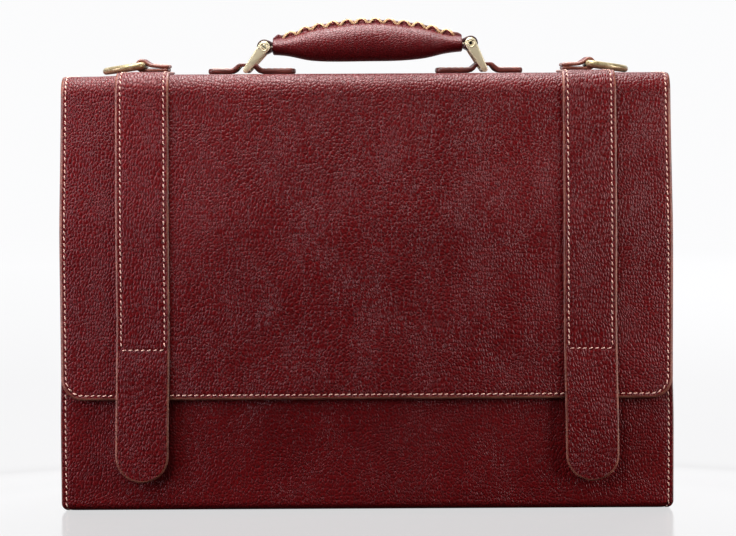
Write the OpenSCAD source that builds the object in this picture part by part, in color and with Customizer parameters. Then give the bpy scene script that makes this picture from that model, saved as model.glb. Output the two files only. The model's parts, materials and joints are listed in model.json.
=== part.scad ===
// Leather flap briefcase: two-compartment case, full front flap with two sewn straps, and a hand-laced
// handle on stirrup rings. +X is to the right seen from the front, +Y to the back, +Z up.
// The origin is the centre of the base's underside.

/* [Case] */
// Width over the panels' side edges
case_w = 400; // [380:1:420]
// Depth over the front and back panels at the base
case_d = 92; // [80:1:100]
// Height of the closed bag, from the floor to the flap's top
case_h = 287.5; // [280:0.5:300]
// Height of the front panel's upper edge
front_top_z = 268; // [260:1:270]
// Height of the back panel's upper edge
back_top_z = 272; // [265:1:274]
// Height where the front starts to lean back
lean_start_z = 181; // [160:1:200]
// How far the upper front leans back from the vertical, in degrees
lean = 5.1; // [3:0.1:6]
// Radius of the bottom edges, front and back
base_edge_r = 5; // [4:0.5:7]

/* [Leather] */
// Front and back panel leather
panel_t = 2.4; // [2:0.1:2.8]
// Gusset leather
gusset_t = 1.8; // [1.4:0.1:2]
// Lining inside the case
lining_t = 0.8; // [0.6:0.1:1]
// Flap leather
flap_t = 2; // [1.6:0.1:2.4]
// Lining under the flap
flap_lining_t = 1; // [0.8:0.1:1]
// Strap leather
strap_t = 1.8; // [1.6:0.1:2]

/* [Gussets] */
// Width of the flange that is sewn to each panel
flange_w = 8; // [7:0.5:10]
// How far the side folds inward past its flanges
fold_depth = 8; // [6:0.5:10]
// Height of the gussets' upper edge
gusset_top_z = 258; // [245:1:262]

/* [Flap] */
// Width of the flap
flap_w = 402; // [396:1:410]
// Height of the flap's lower edge
flap_edge_z = 73.7; // [70:0.1:80]
// Radius of the flap's lower corners
flap_corner_r = 14.5; // [10:0.5:20]
// Outer radius of the fold at the front of the top
front_fold_r = 14; // [12:0.5:16]
// Outer radius of the fold at the back of the top
rear_fold_r = 12; // [10:0.5:14]
// Height where the flap's rear end stops on the back
flap_rear_z = 205; // [180:1:220]
// Air between the closed flap and the front panel
flap_gap = 0.5; // [0.4:0.1:0.8]

/* [Straps] */
// Width of each strap
strap_w = 35; // [30:0.5:40]
// Sideways distance of each strap from the middle
strap_x = 146.6; // [140:0.1:150]
// Where the sewn part of the strap ends, just below its cross stitch
strap_end_z = 105.5; // [95:0.5:115]
// Height of the tongue's rounded tip
tongue_tip_z = 19.5; // [18:0.5:30]
// Where the straps end on the top, under the dee tabs
strap_rear_y = 20; // [18:1:24]

/* [Snaps] */
// Height of the snaps' centre
snap_z = 38; // [36:1:42]
// Diameter of the snap's socket
socket_d = 14; // [12:0.5:16]
// Diameter of the snap's stud
stud_d = 12; // [10:0.5:13]
// Thickness of each snap half
snap_t = 1.4; // [1.2:0.1:1.4]

/* [Handle] */
// Sideways distance of each ring's lower bar from the middle
bar_x = 79.2; // [78:0.1:80]
// Distance between the handle's two pins
pin_span = 137.2; // [136:0.1:138.5]
// Pin centre to bar centre of a ring
ring_len = 19.5; // [19:0.1:20.5]
// Where the handle stands across the top
handle_y = 2; // [0:0.5:4]
// How far the left ring leans towards the middle as the handle rests, in degrees
left_lean = 38.1; // [33:0.1:40]
// Height of the bar's centre above the flap
bar_lift = 2.7; // [2.6:0.05:3]
// Radius of the ring's lower bar
bar_r = 1.7; // [1.5:0.05:1.7]
// Radius of the ring's pin
pin_r = 2; // [1.8:0.05:2.1]
// Radius of the ring's head round the pin
ring_head_r = 3.75; // [3.5:0.05:4]
// Radius of the ring's foot round the bar
ring_foot_r = 2.1; // [2:0.05:2.2]
// Thickness of a ring's arm
arm_t = 3.2; // [3:0.1:3.6]
// Gap between the two arms of a ring
arm_gap = 34.8; // [34:0.1:36]
// Length of the grip's cover
grip_len = 126.4; // [120:0.2:127]
// Width of the grip
grip_w = 31; // [28:0.5:32]
// Height of the grip's flat necks
neck_h = 12.4; // [11:0.2:13]
// Lowest point of the belly below the pins' line
belly_low = 10.7; // [10:0.1:11]
// Highest point of the belly above the pins' line
belly_high = 14.2; // [13:0.1:15]
// Height of the laced ridge on the belly
ridge_h = 3.4; // [2.5:0.1:4]
// Number of crossed laces
laces = 13; // [9:1:15]

/* [Chapes] */
// Length of the leather chape of a ring
chape_len = 57.8; // [54:0.2:60]
// Width of the chape
chape_w = 32; // [28:0.5:33]
// Thickness of the chape
chape_t = 3.2; // [2.8:0.1:3.6]
// How far the chape's middle lies inside the bar
chape_in = 3.3; // [2:0.1:4]

/* [Dee rings] */
// Radius of the dee ring's wire
dee_r = 2.3; // [2:0.05:2.4]
// Outer width of the dee ring
dee_w = 40.6; // [40:0.2:42]
// Length of the dee ring from its bar's centre to its tip's centre
dee_len = 25.4; // [24:0.2:27]
// Sideways distance of the dee's bar from the middle
dee_x = 149; // [147:0.5:150]
// How far the resting dee slopes down, in degrees
dee_slope = 5.9; // [3:0.1:6]
// Length of the dee tab from the bar to its inner end
dee_tab_len = 17.5; // [15:0.5:20]
// Width of the dee tab
dee_tab_w = 27; // [24:0.5:27]
// Thickness of the folded tab
dee_tab_t = 3.5; // [3:0.1:3.6]

/* [Hidden] */

$fn = 48;
arc_steps = 8;
split_gap = 0.3;      // air between the two sides of a fold
fit = 0.08;           // radial clearance of a turning fit
seam_half = 0.05;     // half the width of the butt seam along the base
leather_c = [0.36, 0.10, 0.11];
edge_c = [0.42, 0.23, 0.18];
lining_c = [0.45, 0.36, 0.27];
brass_c = [0.72, 0.66, 0.48];
lace_c = [0.85, 0.66, 0.45];
board_c = [0.30, 0.27, 0.24];

flap_total = flap_t + flap_lining_t;
flap_out = flap_total + flap_gap;        // flap's outer face, out from the front panel's
knee_r = 200;                            // radius of the bend where the front starts to lean
knee = [knee_r - case_d / 2, lean_start_z];

// Points of an arc in the side view, from angle a0 to angle a1.
function arc(c, r, a0, a1, n = arc_steps) =
    [for (i = [0:n]) let (a = a0 + (a1 - a0) * i / n) c + r * [cos(a), sin(a)]];
function backwards(p) = [for (i = [len(p) - 1:-1:0]) p[i]];

// A point of the leaning upper front at height z, o inside the front panel's outer face.
lean_up = [sin(lean), cos(lean)];
function lean_base(o) = knee + (knee_r - o) * [-cos(lean), sin(lean)];
function lean_at(o, z) = lean_base(o) + lean_up * (z - lean_base(o)[1]) / lean_up[1];

// Centres of the two folds of the flap.
front_fold_z = case_h - front_fold_r;
flap_line = lean_base(-flap_out);
front_fold = [flap_line[0] + (front_fold_r + (front_fold_z - flap_line[1]) * sin(lean)) / cos(lean),
              front_fold_z];
rear_fold = [case_d / 2 + flap_total - rear_fold_r, case_h - rear_fold_r];
front_split = (90 + 180 - lean) / 2;
rear_split = 45;
function split_turn(r) = split_gap / 2 / r * 180 / PI;

// Side view of the front panel's run, o inside its outer face: top edge, lean, bottom edge, base seam.
function front_run(o, z) = concat(
    [lean_at(o, z)], arc(knee, knee_r - o, 180 - lean, 180),
    arc([base_edge_r - case_d / 2, base_edge_r], base_edge_r - o, 180, 270));
function back_run(o, z) = concat(
    arc([case_d / 2 - base_edge_r, base_edge_r], base_edge_r - o, 270, 360), [[case_d / 2 - o, z]]);

// Side view of the flap's three stretches, o inside its outer face.
function flap_rear_run(o) = concat([[case_d / 2 + flap_total - o, flap_rear_z]],
    arc(rear_fold, rear_fold_r - o, 0, rear_split - split_turn(rear_fold_r)));
function flap_top_run(o, rear_y = undef) = concat(
    is_undef(rear_y) ? arc(rear_fold, rear_fold_r - o, rear_split + split_turn(rear_fold_r), 90)
                     : [[rear_y, case_h - o]],
    arc(front_fold, front_fold_r - o, 90, front_split - split_turn(front_fold_r)));
function flap_front_run(o, z) = concat(
    arc(front_fold, front_fold_r - o, front_split + split_turn(front_fold_r), 180 - lean),
    arc(knee, knee_r + flap_out - o, 180 - lean, 180),
    [[o - case_d / 2 - flap_out, z]]);

// A side-view outline drawn across the bag, w wide and centred on x.
module across(w, x = 0) {
    translate([x, 0, 0]) rotate([90, 0, 90]) linear_extrude(height = w, center = true) children();
}
// A front-view outline given depth d, from y backwards.
module through(y, d) {
    translate([0, y + d, 0]) rotate([90, 0, 0]) linear_extrude(height = d) children();
}
module sheet(outer, inner) { polygon(concat(outer, backwards(inner))); }
// A round rod along Y, centred.
module rod_y(r, l) { rotate([90, 0, 0]) cylinder(r = r, h = l, center = true); }

// ---- the case ----
module front_panel() {
    color(leather_c) across(case_w)
        sheet(concat(front_run(0, front_top_z), [[4, 0]]),
              concat(front_run(panel_t, front_top_z), [[4, panel_t]]));
}
module back_panel() {
    color(leather_c) across(case_w)
        sheet(concat([[4 + 2 * seam_half, 0]], back_run(0, back_top_z)),
              concat([[4 + 2 * seam_half, panel_t]], back_run(panel_t, back_top_z)));
}

flange_out = panel_t;                    // the flange lies against the panels
wall_x = case_w / 2 - flange_w;          // outer face of the gusset's wall at its flanges
fold_x = wall_x - fold_depth;            // outer face at the bottom of its fold
function u_run(o, z) = concat(front_run(o, z), back_run(o, z));

module gusset_flange() {
    across(flange_w + gusset_t - 0.4, case_w / 2 - 0.4 - (flange_w + gusset_t - 0.4) / 2)
        sheet(u_run(flange_out, gusset_top_z), u_run(flange_out + gusset_t, gusset_top_z));
}
module gusset_wall() {
    half = case_d / 2 - panel_t;
    land = half - 10;
    intersection() {
        linear_extrude(height = gusset_top_z)
            sheet([[wall_x, -half], [wall_x, -land], [fold_x, -2], [fold_x, 2], [wall_x, land],
                   [wall_x, half]],
                  [for (p = [[0, -half], [0, -land], [-fold_depth, -2], [-fold_depth, 2], [0, land],
                             [0, half]]) [wall_x - gusset_t + p[0], p[1]]]);
        across(2 * (flange_w + fold_depth + gusset_t), wall_x)
            polygon(u_run(flange_out + gusset_t / 2, gusset_top_z));
    }
}
module gusset(side) {
    color(leather_c) mirror([side < 0 ? 1 : 0, 0, 0]) union() { gusset_flange(); gusset_wall(); }
}
module left_gusset() { gusset(-1); }
module right_gusset() { gusset(1); }

inner_w = 2 * (wall_x - gusset_t) - 0.6;      // clear width between the gussets' flat walls
fold_w = 2 * (fold_x - gusset_t) - 0.6;       // clear width between their folds
board_t = 2.4;
divider_t = 3;
divider_top_z = 246;
lining_top = 6;                               // the linings stop this far below the panels' edges
module base_board() {
    d = case_d - 2 * (base_edge_r + panel_t);
    color(board_c) translate([-fold_w / 2, -d / 2, panel_t]) cube([fold_w, d, board_t]);
}
lining_foot = panel_t + board_t + 0.4;
module front_lining() {
    top = front_top_z - lining_top;
    foot = -case_d / 2 + panel_t;
    color(lining_c) across(inner_w)
        sheet(concat([lean_at(panel_t, top)], arc(knee, knee_r - panel_t, 180 - lean, 180),
                     [[foot, lining_foot]]),
              concat([lean_at(panel_t + lining_t, top)],
                     arc(knee, knee_r - panel_t - lining_t, 180 - lean, 180),
                     [[foot + lining_t, lining_foot]]));
}
module back_lining() {
    top = back_top_z - lining_top;
    color(lining_c) translate([-inner_w / 2, case_d / 2 - panel_t - lining_t, lining_foot])
        cube([inner_w, lining_t, top - lining_foot]);
}
module divider() {
    foot = lining_foot;
    color(lining_c) translate([-fold_w / 2, -divider_t / 2, foot])
        cube([fold_w, divider_t, divider_top_z - foot]);
}
pocket_w = 230;
pocket_foot_z = 70;
pocket_h = 130;
pocket_t = 1.6;
module inner_pocket() {
    color(leather_c)
        translate([-pocket_w / 2, case_d / 2 - panel_t - lining_t - pocket_t, pocket_foot_z])
            cube([pocket_w, pocket_t, pocket_h]);
}
module flap_rear() {
    color(leather_c) across(flap_w) sheet(flap_rear_run(0), flap_rear_run(flap_total));
}

stud_pin_r = 1.6;
stud_pin_l = 0.9;
socket_hole_r = 2.4;
module snap_socket(x) {
    color(brass_c) difference() {
        translate([x, -case_d / 2 - snap_t / 2, snap_z]) rod_y(socket_d / 2, snap_t);
        translate([x, -case_d / 2 - snap_t / 2 - 0.3, snap_z]) rod_y(socket_hole_r, snap_t);
    }
}
module left_snap_socket() { snap_socket(-strap_x); }
module right_snap_socket() { snap_socket(strap_x); }

// ---- the flap's top ----
module flap_top() {
    color(leather_c) across(flap_w) sheet(flap_top_run(0), flap_top_run(flap_t));
}
module flap_top_lining() {
    color(lining_c) across(flap_w) sheet(flap_top_run(flap_t), flap_top_run(flap_total));
}
reinforcement_t = 1.6;
reinforcement_w = 240;
reinforcement_d = 44;
module handle_reinforcement() {
    color(board_c)
        translate([-reinforcement_w / 2, handle_y - reinforcement_d / 2,
                   case_h - flap_total - reinforcement_t])
            cube([reinforcement_w, reinforcement_d, reinforcement_t]);
}
module strap_top(x) {
    color(leather_c) across(strap_w, x)
        sheet(flap_top_run(-strap_t, strap_rear_y), flap_top_run(0, strap_rear_y));
}
module left_strap_top() { strap_top(-strap_x); }
module right_strap_top() { strap_top(strap_x); }

bar_z = case_h + bar_lift;
tunnel_half = 4.6;        // half-width of the tunnel's flat roof
tunnel_ramp = 6;          // length of the slope on each side of it
tunnel_h = 5;             // clear height of the tunnel
roof_t = 2.2;             // leather over the tunnel
// How much of the hump's height is left at distance d from the bar.
function hump(d, flat) = let (t = min(1, max(0, (abs(d) - flat) / tunnel_ramp))) 1 - t * t * (3 - 2 * t);
module chape(side) {
    centre = side * (bar_x - chape_in);
    ends = [centre - chape_len / 2, centre + chape_len / 2];
    xs = [for (i = [-12:1:12]) side * bar_x + i];
    hump_top = tunnel_h + roof_t - chape_t;
    color(leather_c) through(handle_y - chape_w / 2, chape_w)
        polygon(concat(
            [[ends[0], case_h], [ends[0], case_h + chape_t]],
            [for (x = xs) [x, case_h + chape_t + hump_top * hump(x - side * bar_x, tunnel_half)]],
            [[ends[1], case_h + chape_t], [ends[1], case_h]],
            [for (x = backwards(xs)) [x, case_h + tunnel_h * hump(x - side * bar_x, tunnel_half - 1.6)]]));
}
module left_chape() { chape(-1); }
module right_chape() { chape(1); }

dee_loop_r = dee_r + fit + 1.8;
dee_z = case_h + strap_t + dee_loop_r;
module dee_tab(side) {
    color(leather_c) through(handle_y - dee_tab_w / 2, dee_tab_w) difference() {
        union() {
            translate([side * dee_x, dee_z]) circle(r = dee_loop_r);
            translate([side > 0 ? dee_x - dee_tab_len : -dee_x, case_h + strap_t])
                square([dee_tab_len, dee_tab_t]);
        }
        translate([side * dee_x, dee_z]) circle(r = dee_r + fit);
    }
}
module left_dee_tab() { dee_tab(-1); }
module right_dee_tab() { dee_tab(1); }

// ---- the flap's front ----
module flap_outline() {
    half = flap_w / 2;
    top = case_h + 10;
    translate([-half, flap_edge_z + flap_corner_r]) square([flap_w, top - flap_edge_z - flap_corner_r]);
    translate([flap_corner_r - half, flap_edge_z])
        square([flap_w - 2 * flap_corner_r, flap_corner_r + 1]);
    for (x = [flap_corner_r - half, half - flap_corner_r])
        translate([x, flap_edge_z + flap_corner_r]) circle(r = flap_corner_r);
}
module flap_front_layer(o0, o1) {
    intersection() {
        across(flap_w) sheet(flap_front_run(o0, flap_edge_z), flap_front_run(o1, flap_edge_z));
        through(-case_d, case_d) flap_outline();
    }
}
module flap_front() { color(leather_c) flap_front_layer(0, flap_t); }
module flap_front_lining() { color(lining_c) flap_front_layer(flap_t, flap_total); }
module strap(x) {
    color(leather_c) across(strap_w, x)
        sheet(flap_front_run(-strap_t, strap_end_z), flap_front_run(0, strap_end_z));
}
module left_strap() { strap(-strap_x); }
module right_strap() { strap(strap_x); }

// ---- the tongues ----
flap_face_y = -case_d / 2 - flap_out;
tongue_back_y = flap_face_y - split_gap;
module tongue(x) {
    r = strap_w / 2;
    color(leather_c) through(tongue_back_y - strap_t, strap_t) union() {
        translate([x - r, tongue_tip_z + r])
            square([strap_w, strap_end_z - split_gap - tongue_tip_z - r]);
        translate([x, tongue_tip_z + r]) circle(r = r);
    }
}
module left_tongue() { tongue(-strap_x); }
module right_tongue() { tongue(strap_x); }
module snap_stud(x) {
    color(brass_c) union() {
        translate([x, tongue_back_y + snap_t / 2, snap_z]) rod_y(stud_d / 2, snap_t);
        translate([x, tongue_back_y + snap_t + stud_pin_l / 2 - 0.1, snap_z])
            rod_y(stud_pin_r, stud_pin_l + 0.2);
    }
}
module left_snap_stud() { snap_stud(-strap_x); }
module right_snap_stud() { snap_stud(strap_x); }

// ---- the handle: each ring turns on its bar, the grip hangs between the two pins ----
left_pin = [-bar_x + ring_len * sin(left_lean), bar_z + ring_len * cos(left_lean)];
reach = norm([bar_x, bar_z] - left_pin);
along = (pin_span * pin_span - ring_len * ring_len + reach * reach) / (2 * reach);
offside = sqrt(pin_span * pin_span - along * along);
reach_dir = ([bar_x, bar_z] - left_pin) / reach;
right_pin = left_pin + along * reach_dir + offside * [-reach_dir[1], reach_dir[0]];
right_lean = atan2(bar_x - right_pin[0], right_pin[1] - bar_z);
grip_tilt = atan2(right_pin[1] - left_pin[1], right_pin[0] - left_pin[0]);
grip_mid = (left_pin + right_pin) / 2;

module at_bar(side) {
    translate([side * bar_x, handle_y, bar_z])
        rotate([0, side < 0 ? left_lean : -right_lean, 0]) children();
}
module at_grip() {
    translate([grip_mid[0], handle_y, grip_mid[1]]) rotate([0, -grip_tilt, 0]) children();
}
// One cast arm: round foot and head with flat flanks between them.
module arm_outline() {
    taper = asin((ring_head_r - ring_foot_r) / ring_len);
    foot = (ring_foot_r - 0.02) * [cos(taper), -sin(taper)];
    head = (ring_head_r - 0.02) * [cos(taper), -sin(taper)] + [0, ring_len];
    union() {
        circle(r = ring_foot_r);
        translate([0, ring_len]) circle(r = ring_head_r);
        polygon([foot, head, [-head[0], head[1]], [-foot[0], foot[1]]]);
    }
}
module handle_ring(side) {
    color(brass_c) at_bar(side) union() {
        for (y = [-arm_gap / 2 - arm_t, arm_gap / 2])
            through(y, arm_t) difference() {
                arm_outline();
                translate([0, ring_len]) circle(r = pin_r + fit / 2);
            }
        rod_y(bar_r, arm_gap + 1);
    }
}
module ring_pin(side) {
    l = arm_gap + 2 * arm_t + 0.6;
    color(brass_c) at_bar(side) translate([0, 0, ring_len]) difference() {
        rod_y(pin_r, l);
        translate([0, -l / 2, 0]) rotate([90, 0, 0]) cylinder(r = 1.2, h = 2, center = true, $fn = 6);
    }
}
module left_handle_ring() { handle_ring(-1); }
module right_handle_ring() { handle_ring(1); }
module left_ring_pin() { ring_pin(-1); }
module right_ring_pin() { ring_pin(1); }

cover_t = 1.6;
inner_strap_t = 4;
inner_strap_w = 14;
loop_r = 5;
neck_end = 20;            // length of each flat neck
// Side view of the grip, shrunk by o: flat necks and a long low belly. The belly's rise follows a cosine.
function belly(x) = let (h = grip_len / 2 - neck_end, t = min(1, abs(x) / h)) (1 + cos(180 * t)) / 2;
grip_xs = [for (i = [-10:1:10]) i / 10 * (grip_len / 2 - neck_end)];
function grip_top(x, o) = neck_h / 2 - o + (belly_high - neck_h / 2) * belly(x);
function grip_low(x, o) = o - neck_h / 2 - (belly_low - neck_h / 2) * belly(x);
module grip_outline(o, l) {
    polygon(concat([[-l / 2, grip_low(l, o)], [-l / 2, grip_top(l, o)]],
                   [for (x = grip_xs) [x, grip_top(x, o)]],
                   [[l / 2, grip_top(l, o)], [l / 2, grip_low(l, o)]],
                   [for (x = backwards(grip_xs)) [x, grip_low(x, o)]]));
}
barrel_z = 2;
module barrel(o, l) {
    intersection() {
        through(-grip_w, 2 * grip_w) grip_outline(o, l);
        translate([0, 0, barrel_z]) rotate([0, 90, 0]) cylinder(r = grip_w / 2 - o, h = l, center = true);
    }
}
core_len = 96;
module handle_strap_body(o) {
    for (s = [-1, 1])
        translate([s * (pin_span / 2 + core_len / 2 + 1) / 2, 0, 0])
            cube([pin_span / 2 - core_len / 2 - 1, 24 + 2 * o, inner_strap_t + 2 * o], center = true);
    cube([core_len + 4, inner_strap_w + 2 * o, inner_strap_t + 2 * o], center = true);
}
module handle_strap() {
    color(edge_c) at_grip() difference() {
        union() {
            handle_strap_body(0);
            for (s = [-1, 1]) translate([s * pin_span / 2, 0, 0]) rod_y(loop_r, chape_w);
        }
        for (s = [-1, 1]) translate([s * pin_span / 2, 0, 0]) rod_y(pin_r + fit, chape_w + 2);
    }
}
module grip_core() {
    color(lining_c) at_grip() difference() {
        barrel(cover_t + 0.2, core_len);
        cube([core_len + 4, inner_strap_w + 0.2, inner_strap_t + 0.2], center = true);
    }
}
ridge_w = 5;
module grip_cover() {
    color(leather_c) at_grip() difference() {
        union() {
            barrel(0, grip_len);
            through(-ridge_w / 2, ridge_w)
                polygon(concat([for (x = grip_xs) [x, grip_top(x, -ridge_h)]],
                               [for (x = backwards(grip_xs)) [x, grip_top(x, 2)]]));
        }
        barrel(cover_t, core_len + 0.4);
        handle_strap_body(0.1);
    }
}
lace_r = 0.7;
lace_lift = 0.6;          // air between a lace and the ridge, which rises between the laces
module grip_lacing() {
    reach_x = grip_len / 2 - 6;
    color(lace_c) at_grip() for (i = [0:laces - 1]) {
        x = -reach_x + 2 * reach_x * i / (laces - 1);
        rise = abs(x) < grip_len / 2 - neck_end ? ridge_h : 0;
        translate([x, 0, grip_top(x, 0) + rise + lace_r + lace_lift]) rotate([0, 0, 35]) rod_y(lace_r, 9);
    }
}

// ---- the dee rings ----
module dee_quarter(major, a) {
    rotate([0, 0, a]) rotate_extrude(angle = 90) translate([major, 0]) circle(r = dee_r);
}
module dee(side) {
    half = dee_w / 2 - dee_r;
    corner = 4;
    leg = dee_len - half - corner;
    color(brass_c) translate([side * dee_x, handle_y, dee_z]) rotate([0, side * dee_slope, 0])
        mirror([side < 0 ? 1 : 0, 0, 0]) union() {
            rod_y(dee_r, 2 * (half - corner));
            for (m = [0, 1]) mirror([0, m, 0]) {
                translate([corner, half - corner, 0]) dee_quarter(corner, 90);
                translate([corner, half, 0]) rotate([0, 90, 0]) cylinder(r = dee_r, h = leg);
                translate([corner + leg, 0, 0]) dee_quarter(half, 0);
            }
        }
}
module left_dee_ring() { dee(-1); }
module right_dee_ring() { dee(1); }

front_panel();
back_panel();
left_gusset();
right_gusset();
base_board();
front_lining();
back_lining();
divider();
inner_pocket();
flap_rear();
left_snap_socket();
right_snap_socket();
flap_top();
flap_top_lining();
handle_reinforcement();
left_strap_top();
right_strap_top();
left_chape();
right_chape();
left_dee_tab();
right_dee_tab();
flap_front();
flap_front_lining();
left_strap();
right_strap();
left_tongue();
left_snap_stud();
right_tongue();
right_snap_stud();
left_handle_ring();
left_ring_pin();
grip_cover();
grip_core();
handle_strap();
grip_lacing();
right_handle_ring();
right_ring_pin();
left_dee_ring();
right_dee_ring();
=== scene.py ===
"""Leather flap briefcase: the looks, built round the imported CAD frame.

Lengths are in millimetres until a mesh is made. A soft sheet of leather is drawn as a side-view run, with
s the distance along it and o the depth inside its outer face, and a width across the run.
"""
import json
import math

import bpy
import numpy as np
from mathutils import Matrix, Vector


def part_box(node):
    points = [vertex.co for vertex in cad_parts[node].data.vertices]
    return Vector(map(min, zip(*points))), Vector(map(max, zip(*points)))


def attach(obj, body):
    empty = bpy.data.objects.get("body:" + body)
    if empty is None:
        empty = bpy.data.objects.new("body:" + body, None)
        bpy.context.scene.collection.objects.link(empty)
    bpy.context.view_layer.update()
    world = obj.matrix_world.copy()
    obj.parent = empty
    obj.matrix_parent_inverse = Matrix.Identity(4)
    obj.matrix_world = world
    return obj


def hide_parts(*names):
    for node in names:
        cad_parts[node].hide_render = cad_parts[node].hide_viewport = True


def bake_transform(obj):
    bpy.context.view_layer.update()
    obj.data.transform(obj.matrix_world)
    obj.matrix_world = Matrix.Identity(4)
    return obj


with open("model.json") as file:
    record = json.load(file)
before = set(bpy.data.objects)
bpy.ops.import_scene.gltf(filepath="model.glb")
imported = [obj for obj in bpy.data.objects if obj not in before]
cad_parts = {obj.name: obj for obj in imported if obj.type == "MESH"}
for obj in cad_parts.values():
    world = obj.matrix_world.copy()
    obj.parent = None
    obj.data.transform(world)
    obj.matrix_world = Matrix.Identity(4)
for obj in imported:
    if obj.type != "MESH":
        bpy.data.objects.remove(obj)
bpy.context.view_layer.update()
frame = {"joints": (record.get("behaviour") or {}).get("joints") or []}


# ---------------------------------------------------------------- sizes, from the frame
def low(node):
    return np.array(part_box(node)[0]) * 1000


def high(node):
    return np.array(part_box(node)[1]) * 1000


JOINT = {j["name"]: np.array(j["pos_m"]) * 1000 for j in frame["joints"]}
TOP_Z = high("flap_top")[2]
FRONT_Y = low("front_panel")[1]
BACK_Y = high("back_panel")[1]
FLAP_HALF = high("flap_top")[0]
CASE_HALF = high("front_panel")[0]
FLAP_OUT = FRONT_Y - low("flap_front")[1]
FLAP_EDGE_Z = low("flap_front")[2]
FLAP_REAR_Z = low("flap_rear")[2]
FLAP_T = 3.0
FRONT_TOP_Z = high("front_panel")[2]
BACK_TOP_Z = high("back_panel")[2]
GUSSET_TOP_Z = high("left_gusset")[2]
STRAP_X = (low("right_strap")[0] + high("right_strap")[0]) / 2
STRAP_HALF = (high("right_strap")[0] - low("right_strap")[0]) / 2
STRAP_T = high("left_strap_top")[2] - TOP_Z
STRAP_REAR_Y = high("left_strap_top")[1]
STRAP_END_Z = low("left_strap")[2]
TONGUE_TIP_Z = low("left_tongue")[2]
HANDLE_Y = JOINT["handle_sway"][1]
PANEL_T = 2.4
GUSSET_T = 1.8
FLANGE_W = 8.0
FOLD_DEPTH = 8.0
BASE_EDGE_R = 5.0
BASE_SEAM_Y = 4.05
LEAN = math.radians(5.1)
LEAN_START_Z = 181.0
KNEE_R = 200.0
FRONT_FOLD_R = 14.0
REAR_FOLD_R = 12.0
FLAP_CORNER_R = 14.5
SEAM_INSET = 3.3
PITCH = 4.0                  # from stitch to stitch
HANDS = ((-1, "left"), (1, "right"))


# ---------------------------------------------------------------- side-view runs
def arc(c, r, a0, a1, step=0.5):
    """Points of an arc, angles in degrees."""
    n = max(3, int(abs(math.radians(a1 - a0)) * r / step))
    a = np.radians(np.linspace(a0, a1, n + 1))
    return np.c_[c[0] + r * np.cos(a), c[1] + r * np.sin(a)]


def smooth(points, rounds=4):
    """An open line with its corners cut round."""
    p = np.array(points, float)
    for _ in range(rounds):
        q = p[:-1] * 0.75 + p[1:] * 0.25
        r = p[:-1] * 0.25 + p[1:] * 0.75
        p = np.vstack([p[:1], np.stack([q, r], 1).reshape(-1, p.shape[1]), p[-1:]])
    return p


class Run:
    """A side-view line. at(s, o) gives the point at distance s along it, o inside the face on its left."""

    def __init__(self, points):
        p = np.array(points, float)
        far = np.r_[True, np.linalg.norm(np.diff(p, axis=0), axis=1) > 1e-6]
        p = p[far]
        self.s = np.r_[0, np.cumsum(np.linalg.norm(np.diff(p, axis=0), axis=1))]
        t = np.gradient(p, self.s, axis=0)
        t /= np.linalg.norm(t, axis=1)[:, None]
        self.p, self.n = p, np.c_[t[:, 1], -t[:, 0]]
        self.length = self.s[-1]

    def at(self, s, o):
        a, z = (np.interp(s, self.s, self.p[:, k]) for k in (0, 1))
        na, nz = (np.interp(s, self.s, self.n[:, k]) for k in (0, 1))
        return a - na * o, z - nz * o

    def where(self, a=None, z=None, after=0.0):
        """The first s past `after` where the run crosses a given a or z."""
        k, v = (0, a) if z is None else (1, z)
        d = self.p[:, k] - v
        for i in range(len(d) - 1):
            if self.s[i] >= after and d[i] * d[i + 1] <= 0 and d[i] != d[i + 1]:
                return self.s[i] + (self.s[i + 1] - self.s[i]) * d[i] / (d[i] - d[i + 1])
        raise ValueError("the run doesn't reach there")


knee = np.array([KNEE_R + FRONT_Y, LEAN_START_Z])
lean_up = np.array([math.sin(LEAN), math.cos(LEAN)])


def lean_line(o, z):
    """Where the leaning upper front, o inside the panel's outer face, is at height z."""
    foot = knee + (KNEE_R - o) * np.array([-math.cos(LEAN), math.sin(LEAN)])
    return foot + lean_up * (z - foot[1]) / lean_up[1]


def front_face(o, z0, z1):
    """The front from height z0 down to z1, o inside the panel's outer face."""
    a = 180 - math.degrees(LEAN)
    return np.vstack([lean_line(o, z0), arc(knee, KNEE_R - o, a, 180), [[FRONT_Y + o, z1]]])


fold_z = TOP_Z - FRONT_FOLD_R
foot = lean_line(-FLAP_OUT, fold_z)
front_fold = np.array([foot[0] + FRONT_FOLD_R / math.cos(LEAN), fold_z])
rear_fold = np.array([BACK_Y + FLAP_T - REAR_FOLD_R, TOP_Z - REAR_FOLD_R])
FLAP = Run(np.vstack([
    [[BACK_Y + FLAP_T, FLAP_REAR_Z]], arc(rear_fold, REAR_FOLD_R, 0, 90),
    arc(front_fold, FRONT_FOLD_R, 90, 180 - math.degrees(LEAN)),
    front_face(-FLAP_OUT, fold_z - 0.5, 8),
]))
S_FLAP_EDGE = FLAP.where(z=FLAP_EDGE_Z, after=200)
S_TOP_MID = FLAP.where(a=10.0)
S_FOLD_REAR = FLAP.where(a=rear_fold[0], after=40)
S_FOLD_FRONT = FLAP.where(a=front_fold[0], after=100)
FRONT = Run(np.vstack([
    front_face(0, FRONT_TOP_Z, BASE_EDGE_R + 1),
    arc((FRONT_Y + BASE_EDGE_R, BASE_EDGE_R), BASE_EDGE_R, 180, 270), [[BASE_SEAM_Y, 0]],
]))
BACK = Run(np.vstack([
    [[BASE_SEAM_Y, 0]], arc((BACK_Y - BASE_EDGE_R, BASE_EDGE_R), BASE_EDGE_R, 270, 360),
    [[BACK_Y, BACK_TOP_Z]],
]))


def across_x(a, z, w):
    return np.stack([w, a, z], -1)


def across_y(a, z, w):
    return np.stack([a, w, z], -1)


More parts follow.
